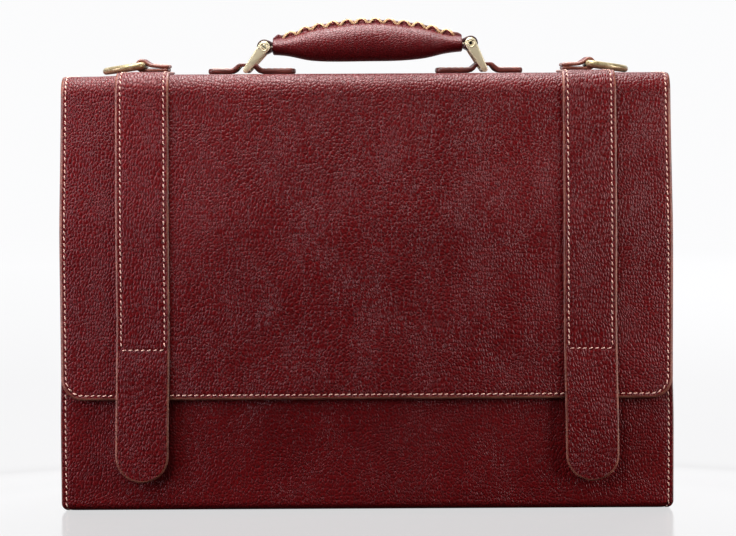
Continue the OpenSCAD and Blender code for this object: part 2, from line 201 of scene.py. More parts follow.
def ripple(x, s, seed, size, reach):
    """A soft uneven swell of up to about `size`, with hollows about `reach` apart."""
    rng = np.random.default_rng(seed)
    out = np.zeros(np.broadcast(x, s).shape)
    for _ in range(7):
        turn, phase, scale = rng.uniform(0, math.pi), rng.uniform(0, 2 * math.pi), rng.uniform(0.7, 1.6)
        k = 2 * math.pi / (reach * scale)
        out = out + np.sin(k * (x * math.cos(turn) + s * math.sin(turn)) + phase)
    return out * size / 3.5


def step(v, lo, hi):
    """0 below lo, 1 above hi, smooth between."""
    t = np.clip((v - lo) / (hi - lo), 0, 1)
    return t * t * (3 - 2 * t)


def inside(x, s, half, s0, s1, r0, r1):
    """How far a point is inside a rectangle whose corners are round: r0 at s0, r1 at s1."""
    mid, tall = (s0 + s1) / 2, (s1 - s0) / 2
    r = np.where(s < mid, r0, r1)
    qx, qs = np.abs(x) - half + r, np.abs(s - mid) - tall + r
    return r - np.minimum(np.maximum(qx, qs), 0) - np.hypot(np.maximum(qx, 0), np.maximum(qs, 0))


# ---------------------------------------------------------------- meshes
def mesh_object(name, verts, faces, materials, mats=None, uvs=None):
    me = bpy.data.meshes.new(name)
    me.from_pydata((np.asarray(verts) / 1000).tolist(), [], [tuple(map(int, f)) for f in faces])
    for m in materials:
        me.materials.append(m)
    if mats is not None:
        me.polygons.foreach_set("material_index", np.asarray(mats, np.int32))
    if uvs is not None:
        layer = me.uv_layers.new(name="grain")
        at = np.zeros(len(me.loops), np.int32)
        me.loops.foreach_get("vertex_index", at)
        layer.data.foreach_set("uv", (np.asarray(uvs)[at] / 1000).astype(np.float32).ravel())
    me.polygons.foreach_set("use_smooth", [True] * len(me.polygons))
    me.update()
    obj = bpy.data.objects.new(name, me)
    bpy.context.scene.collection.objects.link(obj)
    return obj


def grid_faces(nr, nc, base=0, flip=False):
    i, j = np.meshgrid(np.arange(nr - 1), np.arange(nc - 1), indexing="ij")
    a = base + i * nc + j
    quad = np.stack([a, a + nc, a + nc + 1, a + 1], -1).reshape(-1, 4)
    return quad[:, ::-1] if flip else quad


def ring_faces(rings, sides, closed=False):
    """Faces between rings of points. Unless the last ring meets the first, the last two faces are caps."""
    faces = []
    for i in range(rings if closed else rings - 1):
        b, c = i * sides, (i + 1) % rings * sides
        faces += [(b + j, b + (j + 1) % sides, c + (j + 1) % sides, c + j) for j in range(sides)]
    if not closed:
        faces += [tuple(range(sides))[::-1], tuple((rings - 1) * sides + j for j in range(sides))]
    return faces


def spaced(lo, hi, gap, fine=()):
    """Values from lo to hi about `gap` apart, with extra ones round each value in fine."""
    v = list(np.linspace(lo, hi, max(2, int(round((hi - lo) / gap)) + 1)))
    for f in fine:
        v = [u for u in v if abs(u - f) > 1.9 or u in (lo, hi)]
        v += [u for u in (f - 1.5, f - 0.7, f, f + 0.7, f + 1.5) if lo < u < hi]
    return np.array(sorted(set(v)))


RIM_STEPS = 6
GRAIN_T = 2.0                # what the grain takes as thickness where a sheet's varies


def sheet(name, run, rows, cols, thick, materials, x0=0.0, o0=0.0, across=across_x, half=None, rim=0.42,
          open_start=False, open_end=False, wave=None, dent=None, shift=None, uv0=(0.0, 0.0)):
    """A leather sheet along a run. rows are distances s, cols are places x across it. half(s) narrows the
    sheet towards a round end. wave moves both faces, dent sinks the outer one, and shift moves it across.
    materials are the outer face's, the edge's and the inner face's."""
    rows, cols = np.asarray(rows, float), np.asarray(cols, float)
    nr, nc = len(rows), len(cols)
    s_out, x_out = (g.copy() for g in np.meshgrid(rows, cols, indexing="ij"))
    if half is not None:
        x_out *= (half(rows) / np.abs(cols).max())[:, None]
    t = np.full_like(s_out, thick) if not callable(thick) else thick(s_out)

    def place(x, s, o, tall, dip):
        up = (wave(x, s) if wave else 0.0) - dip
        a, z = run.at(s, o0 + o * tall - up)
        side = shift(x, s) if shift else 0.0
        return across(a, z, x0 + x + side)

    dip = dent(x_out, s_out) if dent else np.zeros_like(s_out)
    outer = place(x_out, s_out, 0.0, t, dip)
    inner = place(x_out, s_out, 1.0, t, 0.0)
    verts = [outer.reshape(-1, 3), inner.reshape(-1, 3)]
    uvs = [np.c_[(x_out + uv0[0]).ravel(), (s_out + uv0[1]).ravel()]] * 2
    faces = [grid_faces(nr, nc), grid_faces(nr, nc, nr * nc, True)]
    index = np.arange(nr * nc).reshape(nr, nc)
    loop = [index[0, :], index[1:, -1], index[-1, -2::-1], index[-2:0:-1, 0]]
    ring = np.concatenate(loop)
    xs, ss = x_out.ravel()[ring], s_out.ravel()[ring]
    ds = np.c_[np.roll(xs, -1) - xs, np.roll(ss, -1) - ss]
    ds /= np.maximum(np.linalg.norm(ds, axis=1), 1e-9)[:, None]
    edge_n = np.c_[ds[:, 1], -ds[:, 0]]
    out = edge_n + np.roll(edge_n, 1, axis=0)
    out /= np.maximum(np.linalg.norm(out, axis=1), 1e-9)[:, None]
    nose = rim * t.ravel()[ring]
    if open_start:
        out[: nc, 1] = 0
    if open_end:
        out[nc + nr - 2: 2 * nc + nr - 2, 1] = 0
    flat = dip.ravel()[ring]
    layers = [ring]
    count = 2 * nr * nc
    grain_t = GRAIN_T if callable(thick) else thick
    for k in range(1, RIM_STEPS):
        phi = math.pi * k / RIM_STEPS
        depth = (1 - math.cos(phi)) / 2
        x, s = xs + out[:, 0] * nose * math.sin(phi), ss + out[:, 1] * nose * math.sin(phi)
        verts.append(place(x, s, depth, t.ravel()[ring], flat * (1 - depth)))
        uvs.append(np.c_[x + out[:, 0] * depth * grain_t + uv0[0], s + out[:, 1] * depth + uv0[1]])
        layers.append(np.arange(count, count + len(ring)))
        count += len(ring)
    layers.append(ring + nr * nc)
    n = len(ring)
    skip = np.zeros(n, bool)
    if open_start:
        skip[: nc - 1] = True
    if open_end:
        skip[nc + nr - 2: 2 * nc + nr - 3] = True
    for p, q in zip(layers, layers[1:]):
        quad = np.stack([p, np.roll(p, -1), np.roll(q, -1), q], -1)
        faces.append(quad[~skip])
    counts = [len(f) for f in faces]
    mats = np.concatenate([np.full(counts[0], 0), np.full(counts[1], 2), np.full(sum(counts[2:]), 1)])
    return mesh_object(name, np.vstack(verts), np.vstack(faces), materials, mats, np.vstack(uvs))


def tube(name, path, radius, materials, sides=14, closed=False, flat=1.0, up=(0, 0, 1)):
    """A rod along a path. flat squeezes it along its up side; radius may be a list along the path. Without a
    name it gives (verts, faces)."""
    p = np.asarray(path, float)
    t = (np.roll(p, -1, 0) - np.roll(p, 1, 0)) if closed else np.gradient(p, axis=0)
    t /= np.linalg.norm(t, axis=1)[:, None]
    r = np.broadcast_to(np.asarray(radius, float), (len(p),))
    ref = np.broadcast_to(np.asarray(up, float), p.shape)
    side = np.cross(t, ref)
    side /= np.maximum(np.linalg.norm(side, axis=1), 1e-9)[:, None]
    top = np.cross(side, t)
    a = np.linspace(0, 2 * math.pi, sides, endpoint=False)
    ring = (side[:, None] * np.cos(a)[None, :, None] + top[:, None] * np.sin(a)[None, :, None] * flat)
    verts = (p[:, None] + ring * r[:, None, None]).reshape(-1, 3)
    n = len(p)
    faces = ring_faces(n, sides, closed)
    if name is None:
        return verts, faces
    uvs = np.c_[np.repeat(np.arange(n) * 1.0, sides), np.tile(np.arange(sides) * 1.0, n)]
    return mesh_object(name, verts, faces, materials, uvs=uvs)


def join_parts(name, parts, materials):
    """One object from several (verts, faces) pairs."""
    verts, faces, base = [], [], 0
    for v, f in parts:
        verts.append(np.asarray(v, float))
        faces += [tuple(base + k for k in face) for face in f]
        base += len(v)
    return mesh_object(name, np.vstack(verts), faces, materials)


def lathe(profile, centre, axis, sides=40, start=0.0):
    """(verts, faces) of a turned shape. profile is (radius, height) pairs along the axis."""
    rot = Vector((0, 0, 1)).rotation_difference(Vector(axis)).to_matrix()
    a = np.linspace(0, 2 * math.pi, sides, endpoint=False) + start
    verts = [np.c_[r * np.cos(a), r * np.sin(a), np.full(sides, h)] for r, h in profile]
    verts = np.vstack(verts) @ np.array(rot).T + np.asarray(centre)
    return verts, ring_faces(len(profile), sides)


def apply_modifiers(obj):
    dg = bpy.context.evaluated_depsgraph_get()
    me = bpy.data.meshes.new_from_object(obj.evaluated_get(dg))
    obj.modifiers.clear()
    obj.data = me


def bevel(obj, width, segments=3, angle=35):
    m = obj.modifiers.new("bevel", "BEVEL")
    m.width, m.segments, m.limit_method, m.angle_limit = width / 1000, segments, "ANGLE", math.radians(angle)
    apply_modifiers(obj)


# ---------------------------------------------------------------- stitches
def resample(points, pitch):
    """Middles and directions of stitches along a line, with a whole number of them."""
    p = np.array(points, float)
    d = np.r_[0, np.cumsum(np.linalg.norm(np.diff(p, axis=0), axis=1))]
    n = max(1, int(round(d[-1] / pitch)))
    mid = (np.arange(n) + 0.5) * d[-1] / n
    at = np.c_[np.interp(mid, d, p[:, 0]), np.interp(mid, d, p[:, 1])]
    ahead = np.c_[np.interp(mid + 0.5, d, p[:, 0]), np.interp(mid + 0.5, d, p[:, 1])]
    return at, ahead


def u_line(half, s0, s1, r, inset):
    """Down the left side, round the end at s1, and up the right side, `inset` inside the outline."""
    h, e, q = half - inset, s1 - inset, max(r - inset, 0.1)
    left = arc((-h + q, e - q), q, 180, 90, 1.0)
    right = arc((h - q, e - q), q, 90, 0, 1.0)
    return np.vstack([[[-h, s0]], left, right, [[h, s0]]])


class Seam:
    """Collects stitches as frames: middle, direction, outward normal."""

    def __init__(self, name):
        self.name, self.mid, self.dir, self.up = name, [], [], []

    def add(self, run, line, x0=0.0, o0=0.0, across=across_x, wave=None, shift=None, pitch=PITCH, keep=None):
        at, ahead = resample(line, pitch)
        if keep is not None:
            good = keep(at[:, 0], at[:, 1])
            at, ahead = at[good], ahead[good]

        def place(p, o):
            w = wave(p[:, 0], p[:, 1]) if wave else 0.0
            side = shift(p[:, 0], p[:, 1]) if shift else 0.0
            a, z = run.at(p[:, 1], o0 + o - w)
            return across(a, z, x0 + p[:, 0] + side)

        here = place(at, 0.0)
        self.mid.append(here)
        self.dir.append(place(ahead, 0.0) - here)
        self.up.append(place(at, -1.0) - here)
        return self

    def add_sides(self, run, line, **how):
        """Each side of a cornered line on its own, with a whole number of stitches."""
        for side in zip(line, line[1:]):
            self.add(run, side, **how)

    def build(self, length=3.15, wide=0.41, tall=0.38, sink=0.06, slant=13.0):
        mid, d, up = (np.vstack(v) for v in (self.mid, self.dir, self.up))
        d /= np.linalg.norm(d, axis=1)[:, None]
        up -= d * (up * d).sum(1)[:, None]
        up /= np.linalg.norm(up, axis=1)[:, None]
        side = np.cross(up, d)
        rng = np.random.default_rng(len(mid))
        turn = np.radians(slant + rng.normal(0, 2.5, len(mid)))[:, None]
        d, side = d * np.cos(turn) + side * np.sin(turn), side * np.cos(turn) - d * np.sin(turn)
        long = (length * rng.normal(1, 0.04, len(mid)))[:, None, None]
        sides, rings = 8, 7
        f = np.linspace(-1, 1, rings)
        thick = np.sqrt(np.maximum(1 - np.abs(f) ** 3.5, 0.02))
        rise = 0.16 - 0.5 * f ** 4
        a = np.linspace(0, 2 * math.pi, sides, endpoint=False)
        fx = np.repeat(f, sides) / 2
        fy = (thick[:, None] * np.cos(a)[None]).ravel() * wide
        fz = (thick[:, None] * np.sin(a)[None] * tall + rise[:, None]).ravel() - sink
        verts = (mid[:, None] + d[:, None] * fx[None, :, None] * long + side[:, None] * fy[None, :, None]
                 + up[:, None] * fz[None, :, None]).reshape(-1, 3)
        verts[:, 2] = np.maximum(verts[:, 2], 0.02)
        faces = ring_faces(rings, sides)
        whole = [tuple(k + i * sides * rings for k in face) for i in range(len(mid)) for face in faces]
        obj = mesh_object(self.name, verts, whole, [thread])
        return obj


# ---------------------------------------------------------------- materials
class Nodes:
    """Short calls for building one material's nodes."""

    def __init__(self, name):
        self.mat = bpy.data.materials.new(name)
        self.mat.use_nodes = True
        self.tree = self.mat.node_tree
        self.shader = self.tree.nodes["Principled BSDF"]

    def new(self, kind, inputs=None, **settings):
        n = self.tree.nodes.new(kind)
        for k, v in settings.items():
            setattr(n, k, v)
        for k, v in (inputs or {}).items():
            self.put(n, k, v)
        return n

    def put(self, node, key, value):
        socket = node.inputs[key]
        if isinstance(value, bpy.types.NodeSocket):
            self.tree.links.new(value, socket)
        elif isinstance(value, bpy.types.Node):
            self.tree.links.new(value.outputs[0], socket)
        else:
            socket.default_value = value

    def math(self, op, a, b=0.0, c=0.0, clamp=False):
        return self.new("ShaderNodeMath", {0: a, 1: b, 2: c}, operation=op, use_clamp=clamp).outputs[0]

    def vector(self, op, a, b=(0, 0, 0)):
        return self.new("ShaderNodeVectorMath", {0: a, 1: b}, operation=op).outputs[0]

    def noise(self, where, scale, detail=2.0, rough=0.5):
        inputs = {"Vector": where, "Scale": scale, "Detail": detail, "Roughness": rough}
        return self.new("ShaderNodeTexNoise", inputs)

    def own_place(self):
        """Where a point is on its own object."""
        return self.new("ShaderNodeTexCoord").outputs["Object"]

    def size_of(self, vector):
        return self.new("ShaderNodeVectorMath", {0: vector}, operation="LENGTH").outputs[1]

    def bump(self, height, strength, distance):
        return self.new("ShaderNodeBump", {"Height": height, "Strength": strength, "Distance": distance})

    def ramp(self, value, lo, hi, to_lo=0.0, to_hi=1.0, kind="SMOOTHSTEP"):
        inputs = {"Value": value, "From Min": lo, "From Max": hi, "To Min": to_lo, "To Max": to_hi}
        return self.new("ShaderNodeMapRange", inputs, interpolation_type=kind).outputs[0]

    def mix(self, factor, a, b):
        n = self.new("ShaderNodeMix", data_type="RGBA")
        self.put(n, 0, factor)
        self.put(n, 6, a)
        self.put(n, 7, b)
        return n.outputs[2]

    def set(self, **values):
        for k, v in values.items():
            self.put(self.shader, k.replace("_", " "), v)
        return self


def rgb(r, g, b):
    """Linear colour from the usual 0-255 screen values."""
    def lin(c):
        c /= 255
        return c / 12.92 if c <= 0.04045 else ((c + 0.055) / 1.055) ** 2.4
    return (lin(r), lin(g), lin(b), 1.0)


def pebbled_leather(name, base, crease_shade, pale, cell=2.0, depth=0.38, gloss=0.28, stretch=(1.08, 0.76)):
    """Pebbled hide: domed pebbles with narrow creases between them, on the sheet's own coordinates."""
    n = Nodes(name)
    uv = n.new("ShaderNodeUVMap", uv_map="grain").outputs[0]
    warp = n.noise(uv, 170.0, 2.0).outputs[1]
    warp = n.vector("MULTIPLY", n.vector("SUBTRACT", warp, (0.5, 0.5, 0.5)), (0.0012, 0.0012, 0.0))
    slow = n.noise(uv, 26.0, 1.0).outputs[1]
    slow = n.vector("MULTIPLY", n.vector("SUBTRACT", slow, (0.5, 0.5, 0.5)), (0.012, 0.012, 0.0))
    where = n.vector("MULTIPLY", n.vector("ADD", n.vector("ADD", uv, warp), slow), stretch + (1.0,))
    scale = 1000.0 / cell
    edge = n.new("ShaderNodeTexVoronoi", {"Vector": where, "Scale": scale, "Randomness": 0.9},
                 voronoi_dimensions="2D", feature="DISTANCE_TO_EDGE").outputs["Distance"]
    cells = n.new("ShaderNodeTexVoronoi", {"Vector": where, "Scale": scale, "Randomness": 0.9},
                  voronoi_dimensions="2D", feature="F1")
    fine = n.noise(uv, 2200.0, 2.0, 0.6).outputs[0]
    lumps = n.noise(uv, 330.0, 1.0).outputs[0]
    open_crease = n.ramp(lumps, 0.30, 0.62, 0.45, 1.0)
    top = n.math("MULTIPLY", n.math("SUBTRACT", 1.0, n.ramp(edge, 0.0, 0.38)), open_crease)
    dome = n.math("MULTIPLY", cells.outputs["Distance"], cells.outputs["Distance"])
    height = n.math("MULTIPLY_ADD", dome, -0.75, n.math("MULTIPLY", top, -0.75))
    height = n.math("MULTIPLY_ADD", lumps, 0.8, height)
    height = n.math("MULTIPLY_ADD", fine, 0.09, height)
    bump = n.bump(height, 1.0, depth / 1000)
    tint = n.new("ShaderNodeSeparateColor", {0: cells.outputs["Color"]}).outputs[0]
    broad = n.noise(uv, 14.0, 3.0).outputs[0]
    lift = n.math("MULTIPLY_ADD", tint, 0.25, n.math("MULTIPLY", broad, 0.75), clamp=True)
    body = n.mix(n.ramp(lift, 0.25, 0.75), base, pale)
    # Painted shade: the creases, where top is 1, are mixed up to half-way towards the darker crease colour.
    colour = n.mix(n.math("MULTIPLY", top, 0.5), body, crease_shade)
    rough = n.math("MULTIPLY_ADD", top, 0.22, gloss)
    rough = n.math("MULTIPLY_ADD", n.math("SUBTRACT", n.noise(uv, 9.0, 1.0).outputs[0], 0.5), 0.14, rough)
    rough = n.math("MULTIPLY_ADD", n.math("SUBTRACT", fine, 0.5), 0.10, rough)
    n.set(Base_Color=colour, Roughness=rough, Normal=bump)
    n.set(Coat_Weight=0.05, Coat_Roughness=0.22)
    n.set(Specular_IOR_Level=0.31, Specular_Tint=(1.0, 0.80, 0.81, 1.0))
    return n.mat


def burnished_edge(name, base, dark):
    """A cut leather edge, rubbed smooth: layered fibre lines along it and darker patches."""
    n = Nodes(name)
    at = n.own_place()
    streak = n.noise(n.vector("MULTIPLY", at, (260.0, 260.0, 900.0)), 1.0, 3.0).outputs[0]
    patch = n.noise(at, 60.0, 3.0).outputs[0]
    amount = n.math("MULTIPLY_ADD", streak, 0.5, n.math("MULTIPLY", patch, 0.6), clamp=True)
    colour = n.mix(n.ramp(amount, 0.35, 0.75), dark, base)
    bump = n.bump(streak, 0.6, 0.00012)
    n.set(Base_Color=colour, Roughness=n.ramp(patch, 0.3, 0.7, 0.34, 0.52), Normal=bump)
    return n.mat


def suede(name, base, dark):
    """Brushed flesh side or suede lining: short nap with soft cloudy tone."""
    n = Nodes(name)
    at = n.own_place()
    nap = n.noise(at, 1900.0, 3.0, 0.7).outputs[0]
    cloud = n.noise(at, 35.0, 4.0).outputs[0]
    mixv = n.math("MULTIPLY_ADD", nap, 0.5, n.math("MULTIPLY", cloud, 0.5))
    colour = n.mix(n.ramp(mixv, 0.3, 0.7), dark, base)
    bump = n.bump(nap, 0.7, 0.0003)
    n.set(Base_Color=colour, Roughness=n.ramp(cloud, 0.3, 0.7, 0.86, 0.97), Normal=bump)
    n.set(Sheen_Weight=0.35, Sheen_Roughness=0.5)
    return n.mat


def waxed_thread(name, base, dark):
    """Twisted waxed thread."""
    n = Nodes(name)
    at = n.own_place()
    twist = n.new("ShaderNodeTexWave", {"Vector": at, "Scale": 620.0, "Distortion": 2.0, "Detail": 1.0},
                  bands_direction="DIAGONAL").outputs["Fac"]
    grime_and_painted_shade = n.noise(at, 90.0, 2.0).outputs[0]
    colour = n.mix(n.ramp(n.math("MULTIPLY_ADD", twist, 0.45, n.math("MULTIPLY", grime_and_painted_shade, 0.6)), 0.25, 0.75),
                   dark, base)
    bump = n.bump(twist, 0.7, 0.00012)
    n.set(Base_Color=colour, Roughness=n.ramp(grime_and_painted_shade, 0.3, 0.7, 0.45, 0.6), Normal=bump)
    return n.mat


def antique_brass(name, base, dark, rough=0.30):
    """Cast brass, brushed and worn: patina in the hollows, paler on the rubbed edges."""
    n = Nodes(name)
    at = n.own_place()
    cloud = n.noise(at, 190.0, 4.0, 0.6).outputs[0]
    pits = n.noise(at, 1500.0, 2.0, 0.6).outputs[0]
    worn = n.new("ShaderNodeNewGeometry").outputs["Pointiness"]
    shine = n.math("ADD", n.math("MULTIPLY", cloud, 0.7), n.ramp(worn, 0.46, 0.56, 0.0, 0.5), clamp=True)
    colour = n.mix(n.ramp(shine, 0.25, 0.8), dark, base)
    bump = n.bump(pits, 0.5, 0.00006)
    n.set(Base_Color=colour, Metallic=0.5, Normal=bump,
          Roughness=n.math("MULTIPLY_ADD", n.math("SUBTRACT", cloud, 0.5), 0.3, rough))
    return n.mat


def pressed_board(name, base, dark):
    """Pressed leather board: matt, with flecks of fibre."""
    n = Nodes(name)
    at = n.own_place()
    fleck = n.noise(at, 700.0, 4.0, 0.8).outputs[0]
    cloud = n.noise(at, 40.0, 2.0).outputs[0]
    colour = n.mix(n.ramp(fleck, 0.35, 0.65), dark, base)
    bump = n.bump(fleck, 0.5, 0.0002)
    n.set(Base_Color=colour, Roughness=n.ramp(cloud, 0.3, 0.7, 0.7, 0.85), Normal=bump)
    return n.mat


OXBLOOD = rgb(91, 9, 12)
# The darker colour painted into the leather's creases: painted shade.
OXBLOOD_CREASE_SHADE = rgb(54, 5, 7)
OXBLOOD_PALE = rgb(105, 13, 16)
hide = pebbled_leather("oxblood_hide", OXBLOOD, OXBLOOD_CREASE_SHADE, OXBLOOD_PALE)
strap_hide = pebbled_leather("strap_hide", OXBLOOD, OXBLOOD_CREASE_SHADE, OXBLOOD_PALE, cell=1.95, depth=0.38,
                             stretch=(1.12, 0.62))
panel_hide = pebbled_leather("panel_hide", OXBLOOD, OXBLOOD_CREASE_SHADE, OXBLOOD_PALE, cell=1.9, depth=0.30)
grip_hide = pebbled_leather("grip_hide", rgb(88, 14, 17), OXBLOOD_CREASE_SHADE, rgb(104, 20, 23), cell=1.75,
                            depth=0.26, gloss=0.34)
dark_hide = pebbled_leather("dark_hide", rgb(46, 18, 15), rgb(20, 8, 7), rgb(66, 26, 22), cell=1.6,
                            depth=0.12, gloss=0.42)
edge_tan = burnished_edge("burnished_edge", rgb(140, 84, 66), rgb(92, 42, 34))
edge_red = burnished_edge("burnished_edge_red", rgb(112, 52, 42), rgb(64, 24, 20))
flesh = suede("flesh_side", rgb(120, 82, 62), rgb(84, 52, 38))
lining = suede("suede_lining", rgb(128, 96, 70), rgb(92, 64, 45))
thread = waxed_thread("cream_thread", rgb(236, 196, 178), rgb(196, 140, 122))
lace = waxed_thread("tan_lace", rgb(238, 208, 160), rgb(182, 124, 76))
brass = antique_brass("antique_brass", rgb(242, 231, 192), rgb(156, 139, 98), rough=0.36)
# Near-black material that cut() leaves on the walls of its holes: painted shade inside the pins' slot and hex
# socket and the rings' bores.
grime_and_painted_shade = waxed_thread("pin_socket", rgb(34, 24, 18), rgb(14, 10, 8))
snap_metal = antique_brass("snap_metal", rgb(206, 196, 172), rgb(120, 110, 92), rough=0.25)
board = pressed_board("leather_board", rgb(110, 76, 52), rgb(70, 46, 32))
HIDE = [hide, edge_tan, flesh]
HIDE_RED = [hide, edge_red, flesh]
STRAP = [strap_hide, edge_tan, flesh]
PANEL = [panel_hide, edge_red, flesh]

# ---------------------------------------------------------------- camera
SCALE_PX = 1.5325            # picture columns per millimetre at the front of the bag
PICTURE_W = 736
CAMERA_D = 1600.0            # from AIM_Y
CAMERA_Z = TOP_Z
PITCH_DOWN = math.radians(3.509)
ROLL = math.radians(0.3)
AIM_X = 1.2
AIM_Y = -50                  # near the front of the bag
SENSOR = 36.0
cam_data = bpy.data.cameras.new("camera")
cam_data.sensor_width = SENSOR
cam_data.lens = SCALE_PX * CAMERA_D * SENSOR / PICTURE_W
cam_data.shift_y = -0.06
cam_data.clip_end = 50
camera = bpy.data.objects.new("camera", cam_data)
bpy.context.scene.collection.objects.link(camera)
camera.location = Vector((AIM_X, AIM_Y - CAMERA_D, CAMERA_Z)) / 1000
camera.rotation_euler = (Matrix.Rotation(math.pi / 2 - PITCH_DOWN, 3, "X")
                         @ Matrix.Rotation(-ROLL, 3, "Z")).to_euler()
bpy.context.scene.camera = camera


# ---------------------------------------------------------------- the flap
def top_sag(x, s):
    """The top droops a little outside the left strap."""
    on_top = step(s, S_FOLD_REAR - 25, S_FOLD_REAR + 5) * (1 - step(s, S_FOLD_FRONT + 5, S_FOLD_FRONT + 60))
    return -1.25 * step(-x, 148, 184) * on_top


def flap_wave(x, s):
    calm = step(np.abs(s - S_TOP_MID), 4, 60)
    lower = step(s, S_FOLD_FRONT + 30, S_FLAP_EDGE)
    soft = ripple(x, s, 3, 0.30, 95) * (0.35 + 0.65 * lower)
    press = -0.25 * np.exp(-((np.abs(x) - STRAP_X) / 26) ** 2) * lower
    return calm * (soft + press) + top_sag(x, s) + 0.25 * lower


def flap_shift(x, s):
    """The flap is drawn in a little where it turns over the top."""
    return -x / FLAP_HALF * 1.1 * (1 - step(np.abs(s - S_TOP_MID), 60, 170))


def flap_inset(x, s):
    return inside(x, s, FLAP_HALF, 0.0, S_FLAP_EDGE, 4.0, FLAP_CORNER_R)


def seam_dent(d, depth=0.32):
    """How far the leather is drawn in at distance d inside its edge."""
    pull = depth * np.exp(-((d - SEAM_INSET) / 0.85) ** 2)
    return pull + 0.10 * np.exp(-((d - SEAM_INSET) / 3.0) ** 2)


def flap_dent(x, s):
    return seam_dent(flap_inset(x, s))


FLAP_RIM = 0.62
FLAP_NOSE = FLAP_RIM * FLAP_T


def flap_half(rows):
    """Half-width at each row, narrowing round the lower corners."""
    r = FLAP_CORNER_R - FLAP_NOSE
    d = np.clip(S_FLAP_EDGE - FLAP_NOSE - rows, 0, r)
    return FLAP_HALF - FLAP_NOSE - r + np.sqrt(np.maximum(r * r - (r - d) ** 2, 0))


def corner_rows(end, r, n=12):
    """Rows that close in on a round end."""
    a = np.linspace(0, math.pi / 2, n)
    return end - r * (1 - np.sin(a))


flap_cols = spaced(-FLAP_HALF + FLAP_NOSE, FLAP_HALF - FLAP_NOSE, 2.6,
                   (-FLAP_HALF + SEAM_INSET, FLAP_HALF - SEAM_INSET))
rear_rows = np.concatenate([spaced(FLAP_NOSE, S_FOLD_REAR - 19, 2.6, (SEAM_INSET,)),
                            np.arange(S_FOLD_REAR - 18, S_FOLD_REAR + 1, 1.0),
                            spaced(S_FOLD_REAR + 3, S_TOP_MID, 2.6)])
front_end = S_FLAP_EDGE - FLAP_NOSE
front_rows = np.concatenate([spaced(S_TOP_MID, S_FOLD_FRONT - 1, 2.6),
                             np.arange(S_FOLD_FRONT, S_FOLD_FRONT + 22, 1.0),
                             spaced(S_FOLD_FRONT + 23, front_end - FLAP_CORNER_R + FLAP_NOSE - 0.6, 2.6),
                             corner_rows(front_end, FLAP_CORNER_R - FLAP_NOSE, 16)])
flap_back = sheet("flap_leather_rear", FLAP, rear_rows, flap_cols, FLAP_T, HIDE, open_end=True,
                  wave=flap_wave, dent=flap_dent, shift=flap_shift, rim=FLAP_RIM)
flap_face = sheet("flap_leather_front", FLAP, front_rows, flap_cols, FLAP_T, HIDE, half=flap_half,
                  open_start=True, wave=flap_wave, dent=flap_dent, shift=flap_shift, rim=FLAP_RIM)


def fold_line(joint_fold, r, a0, a1):
    """Start and end points round a fold, in metres: where the bend begins and ends."""
    ends = (joint_fold + r * np.array([math.cos(a), math.sin(a)]) for a in map(math.radians, (a0, a1)))
    return [(0, p[0] / 1000, p[1] / 1000) for p in ends]


REAR_BLEND = fold_line(rear_fold, REAR_FOLD_R + 3, -10, 100)
FRONT_BLEND = fold_line(front_fold, FRONT_FOLD_R + 3, 80, 185)


def to_rear(obj):
    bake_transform(obj)


def to_front(obj):
    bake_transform(obj)


to_rear(flap_back)
to_front(flap_face)
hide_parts("flap_rear", "flap_top", "flap_top_lining")
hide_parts("flap_front", "flap_front_lining")

whole = u_line(FLAP_HALF, SEAM_INSET, S_FLAP_EDGE, FLAP_CORNER_R, SEAM_INSET)
foot_line = [[-FLAP_HALF + SEAM_INSET, SEAM_INSET], [FLAP_HALF - SEAM_INSET, SEAM_INSET]]


def flap_stitch(seam, keep):
    seam.add(FLAP, whole, wave=flap_wave, o0=0.25, keep=keep, shift=flap_shift)


def under_strap(x, s):
    """True where a strap covers the flap."""
    return (np.abs(np.abs(x) - STRAP_X) < STRAP_HALF - 3) & (s > FLAP.where(a=STRAP_REAR_Y))


seam = Seam("flap_stitches_rear")
flap_stitch(seam, lambda x, s: s < S_TOP_MID)
seam.add(FLAP, foot_line, wave=flap_wave, o0=0.25)
rear_stitches = seam.build()
to_rear(rear_stitches)
seam = Seam("flap_stitches_front")
flap_stitch(seam, lambda x, s: (s >= S_TOP_MID) & ~under_strap(x, s))
front_stitches = seam.build()
to_front(front_stitches)

# ---------------------------------------------------------------- straps and tongues
S_STRAP_REAR = FLAP.where(a=STRAP_REAR_Y)
S_STRAP_END = FLAP.where(z=STRAP_END_Z, after=200)
S_TIP = FLAP.where(z=TONGUE_TIP_Z, after=200)
S_STRAP_CUT = S_STRAP_END - 22
STRAP_RIM = 0.75
STRAP_NOSE = STRAP_RIM * STRAP_T
S_CROSS = S_STRAP_END - 1.6
STRAP_INSET = 3.3


def strap_shape(side):
    """wave and shift of one strap: it follows the flap, and its tongue hangs free and flares outward."""
    def wave(x, s):
        free = step(s, S_STRAP_END - 2, S_STRAP_END + 12)
        bow = 0.35 * free + 0.9 * step(s, S_STRAP_END + 10, S_TIP)
        twist = 0.55 * step(s, S_STRAP_END + 15, S_TIP) * side * x / STRAP_HALF
        return flap_wave(side * STRAP_X + x, s) * (1 - free) + bow + twist

    def shift(x, s):
        return side * 1.5 * step(s, S_STRAP_END - 30, S_TIP - 10)
    return wave, shift


def strap_dent(x, s):
    d = STRAP_HALF - np.abs(x)
    sewn = 1 - step(s, S_CROSS, S_CROSS + 2)
    cross = np.exp(-((s - S_CROSS) / 0.9) ** 2)
    return seam_dent(d, 0.30) * sewn + 0.3 * cross * (np.abs(x) < STRAP_HALF - 2)


def tip_half(rows):
    r = STRAP_HALF - STRAP_NOSE
    d = np.clip(S_TIP - STRAP_NOSE - rows, 0, r)
    return np.maximum(np.sqrt(np.maximum(r * r - (r - d) ** 2, 0)), 0.02)


